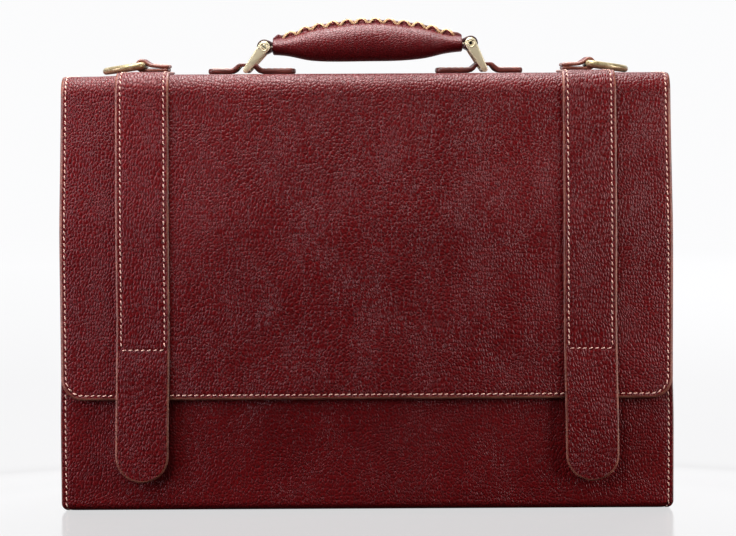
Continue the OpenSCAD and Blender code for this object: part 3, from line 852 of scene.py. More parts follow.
strap_cols = spaced(-STRAP_HALF + STRAP_NOSE, STRAP_HALF - STRAP_NOSE, 1.7,
                    (-STRAP_HALF + STRAP_INSET, STRAP_HALF - STRAP_INSET))
strap_rows = np.concatenate([spaced(S_STRAP_REAR + STRAP_NOSE, S_FOLD_FRONT - 1, 2.0),
                             np.arange(S_FOLD_FRONT, S_FOLD_FRONT + 22, 1.0),
                             spaced(S_FOLD_FRONT + 23, S_STRAP_CUT, 2.4)])
tongue_rows = np.concatenate([spaced(S_STRAP_CUT, S_TIP - STRAP_HALF - 0.8, 1.8, (S_CROSS,)),
                              corner_rows(S_TIP - STRAP_NOSE, STRAP_HALF - STRAP_NOSE, 20)])
for side, hand in HANDS:
    wave, shift = strap_shape(side)
    place = dict(x0=side * STRAP_X, o0=-STRAP_T, wave=wave, shift=shift)
    looks = dict(uv0=(side * 300, 40), rim=STRAP_RIM, **place)
    upper = sheet(hand + "_strap_leather", FLAP, strap_rows, strap_cols, STRAP_T, STRAP, open_end=True,
                  dent=strap_dent, **looks)
    lower = sheet(hand + "_tongue_leather", FLAP, tongue_rows, strap_cols, STRAP_T, STRAP, open_start=True,
                  half=tip_half, dent=strap_dent, **looks)
    to_front(upper)
    hinge = JOINT[hand + "_tongue_fold"]
    ends = [(0, hinge[1] / 1000, (hinge[2] + d) / 1000) for d in (7, -9)]
    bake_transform(lower)
    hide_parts(hand + "_strap_top", hand + "_strap")
    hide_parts(hand + "_tongue")
    seam = Seam(hand + "_strap_stitches")
    e = STRAP_HALF - STRAP_INSET
    place["o0"] = -STRAP_T + 0.22
    for x in (-e, e):
        seam.add(FLAP, [[x, S_STRAP_REAR + 3], [x, S_CROSS - 1.5]], **place)
    seam.add(FLAP, [[-e, S_CROSS], [e, S_CROSS]], **place)
    to_front(seam.build())

# ---------------------------------------------------------------- the case
PANEL_NOSE = 0.42 * PANEL_T
S_FRONT_SEAM = FRONT.length


def tuck(x, z):
    """The case is a little fuller low down, and narrows round its bottom corners."""
    full = x / CASE_HALF * 2.0 * (1 - step(z, 55, 140))
    turn = 1 - np.sqrt(1 - (np.clip(BASE_EDGE_R - z, 0, BASE_EDGE_R) / BASE_EDGE_R) ** 2)
    return full - np.sign(x) * np.clip((np.abs(x) - 185) / 15, 0, 1.2) * 3.6 * turn


def tuck_on(run):
    return lambda x, s: tuck(x, run.at(s, 0.0)[1])


def panel_dent(x, s):
    return seam_dent(CASE_HALF - np.abs(x), 0.35)


def front_wave(x, s):
    low_part = step(s, 120, 190) * (1 - step(s, 245, 262))
    return (ripple(x, s, 8, 0.35, 120) - 0.5 * np.exp(-((s - 225) / 30) ** 2)) * low_part * step(
        CASE_HALF - np.abs(x), 0, 25)


def back_wave(x, s):
    open_part = step(s, 52, 75) * (1 - step(s, 240, 262))
    return ripple(x, s, 12, 0.4, 130) * open_part * step(CASE_HALF - np.abs(x), 0, 25)


panel_cols = spaced(-CASE_HALF + PANEL_NOSE, CASE_HALF - PANEL_NOSE, 3.0,
                    (-CASE_HALF + SEAM_INSET, CASE_HALF - SEAM_INSET))
front_panel_rows = np.concatenate([spaced(PANEL_NOSE, 256, 3.0), np.arange(257, 272, 1.0),
                                   spaced(273, S_FRONT_SEAM, 4.0)])
s_bend = BACK.where(z=BASE_EDGE_R)
back_rows = np.concatenate([spaced(0, s_bend - 12, 4.0), np.arange(s_bend - 11, s_bend + 4, 1.0),
                            spaced(s_bend + 5, BACK.length - PANEL_NOSE, 3.0)])
front_panel = sheet("front_leather", FRONT, front_panel_rows, panel_cols, PANEL_T, PANEL, open_end=True,
                    wave=front_wave, dent=panel_dent, uv0=(37, 410), shift=tuck_on(FRONT))
back_panel = sheet("back_leather", BACK, back_rows, panel_cols, PANEL_T, PANEL, open_start=True,
                   wave=back_wave, dent=panel_dent, uv0=(11, 900), shift=tuck_on(BACK))
for obj, node in ((front_panel, "front_panel"), (back_panel, "back_panel")):
    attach(obj, "case")
    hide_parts(node)
seam = Seam("panel_stitches")
for x in (-CASE_HALF + SEAM_INSET, CASE_HALF - SEAM_INSET):
    seam.add(FRONT, [[x, 6.0], [x, S_FRONT_SEAM - 2]], o0=0.25, wave=front_wave, shift=tuck_on(FRONT))
    seam.add(BACK, [[x, 2.0], [x, BACK.length - 72]], o0=0.25, wave=back_wave, shift=tuck_on(BACK))
edge_x = CASE_HALF - SEAM_INSET
seam.add(FRONT, [[-edge_x, SEAM_INSET], [edge_x, SEAM_INSET]])
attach(seam.build(), "case")


# gussets: each is drawn from its sewn edge, over the flange and in to the fold along the middle of the side
def gusset(side, name):
    wall, fold = CASE_HALF - FLANGE_W, FOLD_DEPTH
    edge = CASE_HALF - 0.6
    foot_z = 44.0
    base = np.vstack([
        front_face(PANEL_T, GUSSET_TOP_Z, BASE_EDGE_R + 1),
        arc((FRONT_Y + BASE_EDGE_R, BASE_EDGE_R), BASE_EDGE_R - PANEL_T, 180, 270),
        arc((BACK_Y - BASE_EDGE_R, BASE_EDGE_R), BASE_EDGE_R - PANEL_T, 270, 360),
        [[BACK_Y - PANEL_T, GUSSET_TOP_Z]]])
    u = Run(base)
    pts = np.array([u.at(s, 0.0) for s in np.linspace(0, u.length, 260)])
    rows = []
    for y, z in pts:
        spine_z = foot_z + (z - foot_z) * step(z, 20, 90) if z < 90 else z
        spine_z = max(spine_z, foot_z * 0.9)
        reach = step(z, 10, 120)
        spine = np.array([wall - fold * reach, y * 0.10 * (1 - reach), spine_z])
        y_in = y + (BASE_EDGE_R - 1.5) * (-np.sign(y)) * (0 if abs(y) < 35 else 1)
        z_in = z + (2.0 if z < BASE_EDGE_R else 0.0)
        root = np.array([wall, y_in, max(z_in, z)])
        bellows = root * 0.45 + spine * 0.55
        bellows[0] += 1.2 * reach
        line = [np.array([edge, y, z]), np.array([wall + 4.0, y, z]),
                np.array([wall + 0.8, y + (y_in - y) * 0.15, z + (root[2] - z) * 0.15]), root, bellows,
                spine + np.array([0.6, 0, 0]), spine]
        rows.append(smooth(line, 3))
    g = np.array(rows)
    g[:, :, 0] += tuck(g[:, :, 0], g[:, :, 2])
    g[:, :, 0] *= side
    nr, nc = g.shape[:2]
    length = np.cumsum(np.linalg.norm(np.diff(g, axis=1, prepend=g[:, :1]), axis=2), axis=1)
    uv = np.stack([length + side * 700, np.linspace(0, u.length, nr)[:, None] + 0 * length], -1)
    obj = mesh_object(name, g.reshape(-1, 3), grid_faces(nr, nc, flip=side < 0), HIDE_RED,
                      uvs=uv.reshape(-1, 2))
    weld = obj.modifiers.new("weld", "WELD")
    weld.merge_threshold = 0.00005
    thick = obj.modifiers.new("thick", "SOLIDIFY")
    thick.thickness, thick.offset = GUSSET_T / 1000, 1.0
    thick.material_offset_rim, thick.material_offset = 1, 2
    apply_modifiers(obj)
    return obj


for side, hand in HANDS:
    obj = gusset(side, hand + "_gusset_leather")
    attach(obj, "case")
    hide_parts(hand + "_gusset")

# ---------------------------------------------------------------- linings, divider, pocket and boards
INNER_HALF = high("back_lining")[0]
FOLD_HALF = high("divider")[0]
PLAIN = [lining, lining, lining]


def flat_sheet(name, node, points, width, thick, materials, gap=5.0, **more):
    """A flat or gently bent sheet on the case, `width` to each side."""
    run = Run(points)
    nose = more.get("rim", 0.42) * thick
    rows, cols = spaced(nose, run.length - nose, gap), spaced(-width + nose, width - nose, gap)
    obj = sheet(name, run, rows, cols, thick, materials, **more)
    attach(obj, "case" if "handle" not in node else "flap_top")
    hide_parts(node)
    return obj


LINING_T = 0.8
foot_z, top_z = low("front_lining")[2], high("front_lining")[2]
obj = flat_sheet("front_lining_suede", "front_lining", front_face(PANEL_T, top_z, foot_z), INNER_HALF,
                 LINING_T, PLAIN)
y = BACK_Y - PANEL_T
obj = flat_sheet("back_lining_suede", "back_lining", [[y, foot_z], [y, high("back_lining")[2]]], INNER_HALF,
                 LINING_T, PLAIN)
lo, hi = low("divider"), high("divider")
obj = flat_sheet("divider_suede", "divider", [[hi[1], lo[2]], [hi[1], hi[2]]], FOLD_HALF, hi[1] - lo[1],
                 [lining, edge_tan, lining])
lo, hi = low("inner_pocket"), high("inner_pocket")
pocket_run = [[lo[1], hi[2]], [lo[1], lo[2]]]


def pocket_dent(x, s):
    d = inside(x, s, hi[0], -40.0, hi[2] - lo[2], 1.0, 6.0)
    return seam_dent(d, 0.3)


obj = flat_sheet("pocket_leather", "inner_pocket", pocket_run, hi[0], hi[1] - lo[1], HIDE_RED, gap=2.6,
                 dent=pocket_dent, uv0=(900, 0))
seam = Seam("pocket_stitches")
seam.add(Run(pocket_run), u_line(hi[0], 2.0, hi[2] - lo[2], 3.5, SEAM_INSET), o0=0.2)
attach(seam.build(), "case")
lo, hi = low("base_board"), high("base_board")
obj = flat_sheet("base_board_pressed", "base_board", [[hi[1], hi[2]], [lo[1], hi[2]]], hi[0], hi[2] - lo[2],
                 [board] * 3)
lo, hi = low("handle_reinforcement"), high("handle_reinforcement")
obj = flat_sheet("handle_board_pressed", "handle_reinforcement", [[hi[1], hi[2]], [lo[1], hi[2]]], hi[0],
                 hi[2] - lo[2], [board] * 3)

# ---------------------------------------------------------------- snaps behind the tongues
SNAP_T = 1.4
for side, hand in HANDS:
    box_lo, box_hi = low(hand + "_snap_socket"), high(hand + "_snap_socket")
    centre = (box_lo + box_hi) / 2
    r = (box_hi[0] - box_lo[0]) / 2
    ring = [(0.05, 0), (r - 0.3, 0), (r, 0.3), (r - 0.1, 0.7), (r - 0.9, 1.1), (r - 1.9, 1.3), (r - 2.8, 1.0),
            (r - 3.4, 0.95), (3.3, 1.1), (2.9, SNAP_T), (2.5, 1.3), (2.4, 1.0), (2.4, 0.35), (0.05, 0.35)]
    obj = join_parts(hand + "_snap_socket_metal", [lathe(ring, (centre[0], FRONT_Y, centre[2]), (0, -1, 0))],
                     [snap_metal])
    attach(obj, "case")
    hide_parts(hand + "_snap_socket")
    box_lo, box_hi = low(hand + "_snap_stud"), high(hand + "_snap_stud")
    r = (box_hi[0] - box_lo[0]) / 2
    tall = box_hi[1] - box_lo[1]
    stud = [(0.05, -0.9), (r - 0.4, -0.9), (r, -0.4), (r, 0.3), (r - 0.7, 0.9), (r - 1.6, 1.2),
            (r - 2.4, 0.8), (2.6, 0.7), (1.7, 0.9), (1.35, 1.3), (1.7, 1.7), (1.6, 2.0), (1.1, tall),
            (0.05, tall + 0.05)]
    stud_foot = ((box_lo[0] + box_hi[0]) / 2 + side * 1.2, box_lo[1], centre[2])
    obj = join_parts(hand + "_snap_stud_metal", [lathe(stud, stud_foot, (0, 1, 0))], [snap_metal])
    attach(obj, hand + "_tongue")
    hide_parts(hand + "_snap_stud")

# ---------------------------------------------------------------- chapes that hold the handle's bars
LEFT_BAR = JOINT["handle_sway"]
LEFT_PIN = JOINT["grip_hinge"]
RIGHT_PIN = JOINT["right_ring_hinge"]
RIGHT_BAR = np.array([-LEFT_BAR[0], LEFT_BAR[1], LEFT_BAR[2]])
CHAPE_T = 3.7
CHAPE_RIM = 0.28
CHAPE_HALF = (high("right_chape")[1] - low("right_chape")[1]) / 2
HUMP = high("right_chape")[2] - TOP_Z - CHAPE_T
HUMP_FLAT = 4.4
HUMP_RAMP = 6.0
ROOF_T = 2.3


def over_handle(a, z, w):
    """A sheet whose run is seen from the front, with its width along the depth of the bag."""
    return across_y(a, z, HANDLE_Y - w)


def mirrored(points, side):
    """The same line on the right, or mirrored and turned end for end on the left."""
    p = np.array(points, float)
    return p if side > 0 else (p * [-1, 1])[::-1]


for side, hand in HANDS:
    lo, hi = low(hand + "_chape"), high(hand + "_chape")
    bar = side * abs(LEFT_BAR[0])
    x = np.linspace(hi[0], lo[0], 260)
    rise = 1 - step(np.abs(x - bar), HUMP_FLAT, HUMP_FLAT + HUMP_RAMP)
    run = Run(np.c_[x, TOP_Z + CHAPE_T + HUMP * rise])
    s_bar = run.where(a=bar)
    nose = CHAPE_RIM * CHAPE_T

    def chape_thick(s, s_bar=s_bar):
        return CHAPE_T - (CHAPE_T - ROOF_T) * (1 - step(np.abs(s - s_bar), HUMP_FLAT - 1, HUMP_FLAT + 9))

    def chape_half(rows, run=run, nose=nose):
        r = 4.0 - nose
        d = np.clip(np.minimum(rows - nose, run.length - nose - rows), 0, r)
        return CHAPE_HALF - nose - r + np.sqrt(np.maximum(r * r - (r - d) ** 2, 0))

    def chape_dent(x, s, run=run):
        return seam_dent(inside(x, s, CHAPE_HALF, 0.0, run.length, 4.0, 4.0), 0.28) * (
            step(np.abs(s - s_bar), HUMP_FLAT + 5, HUMP_FLAT + 9))

    ends = corner_rows(0, 4.0 - nose, 8)
    rows = np.concatenate([-ends[::-1] + nose, spaced(4.6, run.length - 4.6, 1.2),
                           ends + run.length - nose])
    cols = spaced(-CHAPE_HALF + nose, CHAPE_HALF - nose, 1.4)
    obj = sheet(hand + "_chape_leather", run, rows, cols, chape_thick, HIDE_RED, across=over_handle,
                half=chape_half, dent=chape_dent, rim=CHAPE_RIM, uv0=(0, 1500))
    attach(obj, "flap_top")
    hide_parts(hand + "_chape")
    seam = Seam(hand + "_chape_stitches")
    e, inset = CHAPE_HALF - 3.0, 3.0
    for ends in ((inset, s_bar - 9.5), (run.length - inset, s_bar + 9.5)):
        line = [[-e, ends[1]], [-e, ends[0]], [e, ends[0]], [e, ends[1]]]
        seam.add_sides(run, line, across=over_handle, o0=0.22)
    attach(seam.build(), "flap_top")

# ---------------------------------------------------------------- dee rings and their tabs
DEE_R = 2.3
DEE_LOOP = 4.18
DEE_SLOPE = math.radians(8.3)
TAB_T = 2.45
for side, hand in HANDS:
    hinge = JOINT[hand + "_dee_hinge"]
    lo, hi = low(hand + "_dee_tab"), high(hand + "_dee_tab")
    tab_half = (hi[1] - lo[1]) / 2
    centre = np.array([abs(hinge[0]), hinge[2]])
    end = min(abs(lo[0]), abs(hi[0]))
    floor, roof = lo[2], lo[2] + 2 * TAB_T + 0.06
    line = np.vstack([[[end, floor]], arc(centre, DEE_LOOP + 0.35, -90, 80, 0.3),
                      smooth([[centre[0] - 1.2, centre[1] + 4.3], [centre[0] - 4.6, roof + 0.9],
                              [centre[0] - 8.0, roof], [end - 0.6, roof - 0.3]], 4)[1:]])
    run = Run(mirrored(line, side))
    nose = 0.45 * TAB_T
    obj = sheet(hand + "_dee_tab_leather", run, spaced(nose, run.length - nose, 0.9),
                spaced(-tab_half + nose, tab_half - nose, 1.4), TAB_T, STRAP, across=over_handle, rim=0.45,
                uv0=(0, 1700), dent=lambda x, s: seam_dent(tab_half - np.abs(x), 0.25))
    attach(obj, "flap_top")
    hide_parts(hand + "_dee_tab")
    seam = Seam(hand + "_dee_tab_stitches")
    e = tab_half - 3.0
    s_top = run.length if side > 0 else 0.0
    far, near = (s_top - 3.0, s_top - 10.5) if side > 0 else (3.0, 10.5)
    line = [[-e, near], [-e, far], [e, far], [e, near], [-e, near]]
    seam.add_sides(run, line, across=over_handle, o0=0.2)
    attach(seam.build(), "flap_top")
    dee_lo, dee_hi = low(hand + "_dee_ring"), high(hand + "_dee_ring")
    half = (dee_hi[1] - dee_lo[1]) / 2 - DEE_R
    corner = 4.0
    reach = 25.4 - half
    path = np.vstack([
        [[0, y] for y in np.linspace(-half + corner, half - corner, 16)],
        arc((corner, half - corner), corner, 180, 90, 0.6)[1:],
        [[x, half] for x in np.linspace(corner, reach, 4)[1:-1]],
        arc((reach, 0), half, 90, -90, 0.9),
        [[x, -half] for x in np.linspace(reach, corner, 4)[1:-1]],
        arc((corner, -half + corner), corner, -90, -180, 0.6)[:-1]])
    flat = np.c_[path[:, 0], path[:, 1], np.zeros(len(path))]
    x = flat[:, 0] * math.cos(DEE_SLOPE) * side
    z = -flat[:, 0] * math.sin(DEE_SLOPE)
    world = np.c_[x, flat[:, 1], z] + hinge
    if side < 0:
        world = world[::-1]
    wear = DEE_R * (1 - 0.05 * np.exp(-(path[:, 1] / 9) ** 2) * (path[:, 0] < 1))
    obj = tube(hand + "_dee_metal", world, wear if side > 0 else wear[::-1], [brass], sides=22, closed=True)
    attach(obj, hand + "_dee")
    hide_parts(hand + "_dee_ring")

# ---------------------------------------------------------------- the handle's rings and pins
RING_LEN = np.linalg.norm(LEFT_PIN - LEFT_BAR)
SHARP_ANGLE = math.radians(32)
HEAD_R, FOOT_R, ARM_T, ARM_GAP, BAR_R, PIN_R = 3.75, 2.1, 3.2, 34.8, 1.7, 2.0


def box_part(lo, hi):
    """(verts, faces) of a plain block, only used to cut with."""
    v = [(x, y, z) for x in (lo[0], hi[0]) for y in (lo[1], hi[1]) for z in (lo[2], hi[2])]
    return v, [(0, 1, 3, 2), (4, 6, 7, 5), (0, 4, 5, 1), (2, 3, 7, 6), (0, 2, 6, 4), (1, 5, 7, 3)]


def cut(obj, part):
    tool = join_parts("cutter", [part], [grime_and_painted_shade])
    m = obj.modifiers.new("cut", "BOOLEAN")
    # The new walls take the cutter's near-black material, which is painted shade inside the hole.
    m.operation, m.object, m.solver, m.material_mode = "DIFFERENCE", tool, "EXACT", "TRANSFER"
    apply_modifiers(obj)
    bpy.data.objects.remove(tool)


def shade_by_angle(obj):
    obj.data.polygons.foreach_set("use_smooth", [True] * len(obj.data.polygons))
    obj.data.set_sharp_from_angle(angle=SHARP_ANGLE)


def stand_at(obj, bar, pin):
    """Put a part drawn upright from the bar in its place, leaning along bar to pin."""
    lean = math.atan2(pin[0] - bar[0], pin[2] - bar[2])
    m = Matrix.Translation(Vector(bar) / 1000) @ Matrix.Rotation(lean, 4, "Y")
    obj.data.transform(m)
    obj.data.update()


def ring_arm(y0):
    taper = math.degrees(math.asin((HEAD_R - FOOT_R) / RING_LEN))
    outline = np.vstack([arc((0, RING_LEN), HEAD_R, -taper, 180 + taper, 0.45),
                         arc((0, 0), FOOT_R, 180 + taper, 360 - taper, 0.45)])
    n = len(outline)
    verts = [(x, y0, z) for x, z in outline] + [(x, y0 + ARM_T, z) for x, z in outline]
    faces = [tuple(range(n)), tuple(range(2 * n - 1, n - 1, -1))]
    faces += [(i + n, (i + 1) % n + n, (i + 1) % n, i) for i in range(n)]
    return verts, faces


HEAD_RIM = [(3.0, 0), (3.0, 0.18), (2.75, 0.42), (2.45, 0.42), (2.2, 0.22), (2.2, 0)]
for side, hand, bar, pin in ((-1, "left", LEFT_BAR, LEFT_PIN), (1, "right", RIGHT_BAR, RIGHT_PIN)):
    arms = join_parts(hand + "_ring_metal", [ring_arm(-ARM_GAP / 2 - ARM_T), ring_arm(ARM_GAP / 2)], [brass])
    bevel(arms, 0.75, 3, 50)
    bore = [(0.05, -ARM_GAP), (PIN_R, -ARM_GAP), (PIN_R, ARM_GAP), (0.05, ARM_GAP)]
    cut(arms, lathe(bore, (0, 0, RING_LEN), (0, 1, 0), 32))
    rim = [(r, h - 0.1) for r, h in HEAD_RIM]
    rims = [lathe(rim, (0, way * (ARM_GAP / 2 + ARM_T), RING_LEN), (0, way, 0), 32) for way in (-1, 1)]
    reach = ARM_GAP / 2 + 0.5
    rod = [(0.1, -reach), (BAR_R, -reach), (BAR_R, 0), (BAR_R, reach), (0.1, reach)]
    uncapped = [(v, f[:-2]) for v, f in rims]
    rest = join_parts("rest", [lathe(rod, (0, 0, 0), (0, 1, 0), 24)] + uncapped, [brass])
    merged = [(np.array([v.co for v in o.data.vertices]) * 1000, [tuple(p.vertices) for p in o.data.polygons])
              for o in (arms, rest)]
    for o in (arms, rest):
        bpy.data.objects.remove(o)
    obj = join_parts(hand + "_ring_metal", merged, [brass])
    shade_by_angle(obj)
    stand_at(obj, bar, pin)
    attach(obj, hand + "_ring")
    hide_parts(hand + "_handle_ring")

    long = ARM_GAP / 2 + ARM_T + 0.25
    shank = [(0.05, -long), (1.5, -long), (1.88, -long + 0.3), (1.95, 0.0), (1.88, long - 0.3), (1.5, long),
             (0.05, long)]
    screw = join_parts(hand + "_pin_metal", [lathe(shank, (0, 0, RING_LEN), (0, 1, 0), 32)], [brass])
    if side < 0:
        part = box_part((-2.4, -long - 1, RING_LEN - 0.32), (2.4, -long + 0.75, RING_LEN + 0.32))
    else:
        part = lathe([(0.05, -long - 1), (1.25, -long - 1), (1.25, -long + 1.4), (0.05, -long + 1.4)],
                     (0, 0, RING_LEN), (0, 1, 0), 6, 0.3)
    # The slot and the hex socket get near-black walls: painted shade.
    cut(screw, part)
    shade_by_angle(screw)
    stand_at(screw, bar, pin)
    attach(screw, hand + "_ring")
    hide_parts(hand + "_ring_pin")

# ---------------------------------------------------------------- the grip
GRIP_MID = (LEFT_PIN + RIGHT_PIN) / 2
PIN_SPAN = np.linalg.norm(RIGHT_PIN - LEFT_PIN)
TILT = math.atan2(RIGHT_PIN[2] - LEFT_PIN[2], RIGHT_PIN[0] - LEFT_PIN[0])
GRIP_HALF = 63.4
LACES = 13
LACE_PITCH = 9.6
LACE_START = -56.6
TOP_X = [0, 10, 20, 30, 39.5, 48, 55, 60, 64]
TOP_H = [14.3, 14.0, 13.0, 11.6, 10.0, 6.9, 5.3, 4.6, 4.4]
LOW_X = [0, 13, 26, 35, 42, 50, 56, 64]
LOW_H = [10.9, 10.85, 10.6, 10.1, 9.2, 6.9, 6.0, 5.4]


def profile(x, xs, hs):
    """A soft curve through the given heights."""
    x = np.abs(np.asarray(x, float))
    return sum(np.interp(np.abs(x + d), xs, hs) for d in (-5, -3, -1.5, 0, 1.5, 3, 5)) / 7


def to_grip(p):
    """From the grip's own frame, x along it, to the bag's."""
    p = np.asarray(p, float)
    c, s = math.cos(TILT), math.sin(TILT)
    x, y, z = p[..., 0], p[..., 1], p[..., 2]
    return np.stack([GRIP_MID[0] + x * c - z * s, HANDLE_Y + y, GRIP_MID[2] + x * s + z * c], -1)


holes = LACE_START + LACE_PITCH * np.arange(LACES)


def ridge_height(x):
    """The laced edges stand up between the holes and are drawn down at each one."""
    d = np.abs(x[..., None] - holes).min(-1)
    ends = step(GRIP_HALF - np.abs(x), 0.0, 4.0)
    return (2.9 + 0.8 * step(d, 0.8, 3.6)) * (0.45 + 0.55 * ends)


RIDGE_Y = np.array([0.0, 0.10, 0.22, 0.5, 1.0, 1.4, 1.68, 1.86, 1.98, 2.10, 2.3, 2.7, 3.4, 4.3, 5.4, 6.8])
RIDGE_F = np.array([0.62, 0.70, 0.90, 1.0, 1.02, 0.97, 0.85, 0.66, 0.45, 0.30, 0.20, 0.11, 0.05, 0.02,
                    0.0, 0.0])


def grip_section(x, shrink=0.0):
    """One cross-section of the cover as (y, z), from the ridge down one side and up the other."""
    top, bottom = profile(x, TOP_X, TOP_H) - shrink, profile(x, LOW_X, LOW_H) - shrink
    hy = 15.0 + 0.5 * (1 - step(np.abs(x), 25, 50)) - shrink
    belly = 1 - step(np.abs(x), 30, 52)
    m = 2.35 - 0.25 * belly
    zc = (top - bottom) / 2
    hz = (top + bottom) / 2
    y_top = RIDGE_Y
    z_top = zc + hz * np.maximum(1 - (y_top / hy) ** m, 0) ** (1 / m)
    z_top = z_top + RIDGE_F * ridge_height(np.atleast_1d(x))[0] * (shrink < 3)
    a0 = math.acos(min(1, (RIDGE_Y[-1] / hy) ** (m / 2)))
    a = np.linspace(a0, -math.pi / 2, 36)[1:]
    y_side = hy * np.abs(np.cos(a)) ** (2 / m)
    z_side = zc + hz * np.sign(np.sin(a)) * np.abs(np.sin(a)) ** (2 / m)
    y, z = np.r_[y_top, y_side], np.r_[z_top, z_side]
    return np.r_[y, -y[-2:0:-1]], np.r_[z, z[-2:0:-1]]


xs = np.linspace(-GRIP_HALF + 0.8, GRIP_HALF - 0.8, 200)
lips = [(-GRIP_HALF + 0.25, 0.25), (-GRIP_HALF, 0.8), (-GRIP_HALF + 0.1, 1.5), (-GRIP_HALF + 1.5, 2.0),
        (-GRIP_HALF + 6.0, 2.2)]
stations = lips[::-1] + [(x, 0.0) for x in xs] + [(-x, d) for x, d in lips]
verts, uvs = [], []
for x, d in stations:
    y, z = grip_section(x, d)
    wob = ripple(np.full(len(y), x), z + y * 0.7, 21, 0.18, 34) * step(GRIP_HALF - abs(x), 0, 20)
    verts.append(np.c_[np.full(len(y), x), y, z + wob])
    around = np.r_[0, np.cumsum(np.hypot(np.diff(y), np.diff(z)))]
    uvs.append(np.c_[around, np.full(len(y), x + 2000)])
n_side = len(verts[0])
faces = []
for i in range(len(stations) - 1):
    b, c = i * n_side, (i + 1) * n_side
    faces += [(b + j, c + j, c + (j + 1) % n_side, b + (j + 1) % n_side) for j in range(n_side)]
faces += [tuple(range(n_side)), tuple(range((len(stations) - 1) * n_side, len(stations) * n_side))[::-1]]
n_lip = len(lips) - 1
near = [min(abs(x - h) for h in holes) for x, _ in stations]
last = len(stations) - 1 - n_lip
# Material 1, the darker edge colour, goes on the lips at the two ends, which are cut edges, and on the ridge
# within 2.2 mm of each hole, where it is painted shade in the notches the laces go into.
mats = [1 if i < n_lip or i >= last or (near[i] < 2.2 and (j < 8 or j > n_side - 9)) else 0
        for i in range(len(stations) - 1) for j in range(n_side)] + [1, 1]
grip = mesh_object("grip_leather", to_grip(np.vstack(verts)), faces, [grip_hide, edge_red], mats,
                   np.vstack(uvs))
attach(grip, "handle")
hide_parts("grip_cover", "grip_core")

laces = []
for i in range(LACES - 1):
    for front in (-1, 1):
        x0, x1 = holes[i], holes[i + 1]
        t = np.array([0.0, 0.05, 0.15, 0.25, 0.32, 0.41, 0.5, 0.59, 0.68, 0.75, 0.85, 0.95, 1.0])
        y = front * np.array([1.6, 2.3, 2.5, 2.35, 1.75, 0.8, 0.0, -0.8, -1.75, -2.35, -2.5, -2.3, -1.6])
        up = np.array([0.1, 0.6, 1.9, 3.1, 3.65, 3.8, 3.8, 3.8, 3.65, 3.1, 1.9, 0.6, 0.1])
        x = x0 + (x1 - x0) * t
        lift = 0.35 * np.exp(-((t - 0.5) / 0.14) ** 2) * (front > 0)
        z = profile(x, TOP_X, TOP_H) + up * 0.97 + lift - 0.05
        fine = np.linspace(0, len(t) - 1, 27)
        p = np.c_[[np.interp(fine, range(len(t)), v) for v in (x, y, z)]].T
        p[1:-1] = (p[:-2] + 2 * p[1:-1] + p[2:]) / 4
        axis_z = profile(p[:, 0], TOP_X, TOP_H) + 1.6
        ref = np.c_[np.zeros(len(p)), p[:, 1] * 1.5, np.maximum(p[:, 2] - axis_z, 0.05)]
        ref /= np.linalg.norm(ref, axis=1)[:, None]
        v, f = tube(None, p, 0.82, None, sides=12, flat=0.42, up=ref)
        laces.append((to_grip(v), f))
obj = join_parts("grip_laces", laces, [lace])
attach(obj, "handle")
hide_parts("grip_lacing")

LOOP_T = 2.3
parts = []
for side in (-1, 1):
    c = PIN_SPAN / 2
    line = np.vstack([smooth([[45, -2.35], [c - 9, -2.36], [c - 5.6, -2.55], [c - 1.9, -4.6]], 4),
                      arc((c, 0), 5.0, -108, 108, 0.4)[2:-2],
                      smooth([[c - 1.9, 4.6], [c - 5.6, 2.55], [c - 9, 2.36], [45, 2.35]], 4)])
    run = Run(mirrored(line, side))

    def loop_half(rows, run=run):
        x, _ = run.at(rows, 0.0)
        return 12.0 + 3.6 * step(np.abs(x), 62.5, 64.5) - 0.8

    def loop_thick(s, run=run, c=c):
        x, _ = run.at(s, 0.0)
        return LOOP_T + 0.6 * step(np.abs(x), c - 6, c - 3)

    obj = sheet(("left" if side < 0 else "right") + "_handle_loop", run, spaced(0, run.length, 0.8),
                spaced(-15, 15, 1.4), loop_thick, [dark_hide] * 3, half=loop_half, uv0=(0, 2300),
                across=lambda a, z, w: to_grip(np.stack([a, -w, z], -1)))
    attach(obj, "handle")
    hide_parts("handle_strap")

# ---------------------------------------------------------------- floor, backdrop and lights
def pale_set(name):
    """Floor and backdrop. They give off light, less of it round the bag, which paints a soft grey disc of
    shade there, and more far off. They are glossy only near the bag.
    """
    n = Nodes(name)
    spot = n.own_place()
    at = n.size_of(spot)
    gloss_and_painted_shade_at = n.vector("MULTIPLY", n.vector("ADD", spot, (0.0, 0.10, 0.0)), (0.62, 1.0, 1.0))
    gloss_and_painted_shade_at = n.size_of(gloss_and_painted_shade_at)
    far = n.ramp(at, 0.1, 2.6)
    n.set(Base_Color=n.mix(far, (0.20, 0.199, 0.203, 1), (0, 0, 0, 1)), Roughness=0.16)
    n.set(Emission_Color=(1.0, 1.0, 1.008, 1.0))
    # Painted shade: the glow is 0.65 inside the ellipse round the bag and 0.86 outside it, plus up to 0.11
    # far off.
    glow = n.math("ADD", n.ramp(gloss_and_painted_shade_at, 0.20, 0.30, 0.65, 0.86), n.ramp(at, 0.70, 2.1, 0.0, 0.11, "LINEAR"))
    n.set(Emission_Strength=glow, Specular_IOR_Level=n.ramp(gloss_and_painted_shade_at, 0.17, 0.27, 0.09, 0.0))
    return n.mat


def strip_of_floor(name, line, material):
    n = len(line)
    verts = np.vstack([[[x, y, z - 0.05] for y, z in line] for x in (-4500, 4500)])
    obj = mesh_object(name, verts, [(i, i + 1, n + i + 1, n + i) for i in range(n - 1)], [material])
    return obj


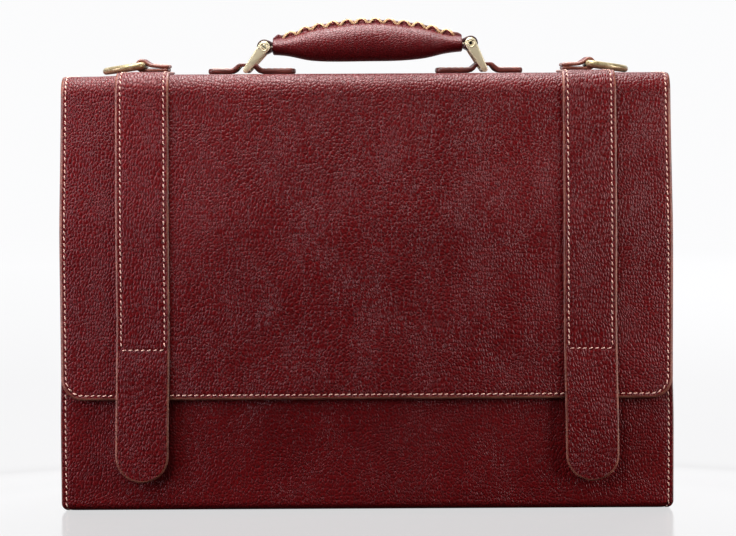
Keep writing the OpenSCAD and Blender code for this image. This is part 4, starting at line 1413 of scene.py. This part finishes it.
white = pale_set("pale_set")
curve = arc((2900, 1200), 1200, 270, 360, 40)
sweep = strip_of_floor("studio_sweep", np.vstack([[[400, 0]], curve, [[4100, 5000]]]), white)
floor = strip_of_floor("studio_floor", np.array([[-5000.0, 0], [400, 0]]), white)
floor.visible_diffuse = floor.visible_glossy = False
unlit = bpy.data.collections.new("not_lit_by_boxes")
for obj in (sweep, floor):
    unlit.objects.link(obj)
for entry in unlit.collection_objects:
    entry.light_linking.link_state = "EXCLUDE"


def softbox(name, where, aim, size, watts, colour=(1, 1, 1)):
    light = bpy.data.lights.new(name, "AREA")
    light.shape, light.size, light.size_y = "RECTANGLE", size[0], size[1]
    light.energy, light.color = watts, colour
    obj = bpy.data.objects.new(name, light)
    obj.location = where
    obj.rotation_euler = (Vector(aim) - Vector(where)).to_track_quat("-Z", "Y").to_euler()
    bpy.context.scene.collection.objects.link(obj)
    return obj


boxes = [softbox("top_box", (-0.1, 0.08, 0.95), (0, 0.04, 0.25), (1.2, 0.5), 20),
         softbox("left_box", (-0.56, -0.24, 0.22), (-0.1, -0.05, 0.17), (0.2, 0.5), 2.2, (1.0, 0.94, 1.10)),
         softbox("right_box", (0.60, -0.24, 0.22), (0.1, -0.05, 0.17), (0.2, 0.5), 3.1, (1.0, 0.95, 0.96)),
         softbox("key_box", (-0.70, -0.95, 1.05), (0, -0.05, 0.2), (0.3, 0.3), 4.2)]
for box in boxes:
    box.light_linking.receiver_collection = unlit
for name, where, size, watts in (("key_fill", (-1.3, -1.6, 1.05), (0.6, 0.6), 4.6),
                                 ("back_fill", (0.9, 1.9, 0.9), (1.2, 1.2), 16)):
    softbox(name, where, (0, 0, 0.15), size, watts).visible_glossy = False
world = bpy.data.worlds.new("studio")
bpy.context.scene.world = world
world.use_nodes = True
tree = world.node_tree
seen = tree.nodes["Background"]
seen.inputs[0].default_value, seen.inputs[1].default_value = (1, 1, 1, 1), 0.97
dim = tree.nodes.new("ShaderNodeBackground")
dim.inputs[0].default_value, dim.inputs[1].default_value = (1, 1, 1, 1), 0.015
pick = tree.nodes.new("ShaderNodeMixShader")
path = tree.nodes.new("ShaderNodeLightPath")
tree.links.new(path.outputs["Is Camera Ray"], pick.inputs[0])
tree.links.new(dim.outputs[0], pick.inputs[1])
tree.links.new(seen.outputs[0], pick.inputs[2])
tree.links.new(pick.outputs[0], tree.nodes["World Output"].inputs[0])
bpy.context.scene.view_settings.view_transform = "Standard"

bpy.context.view_layer.update()
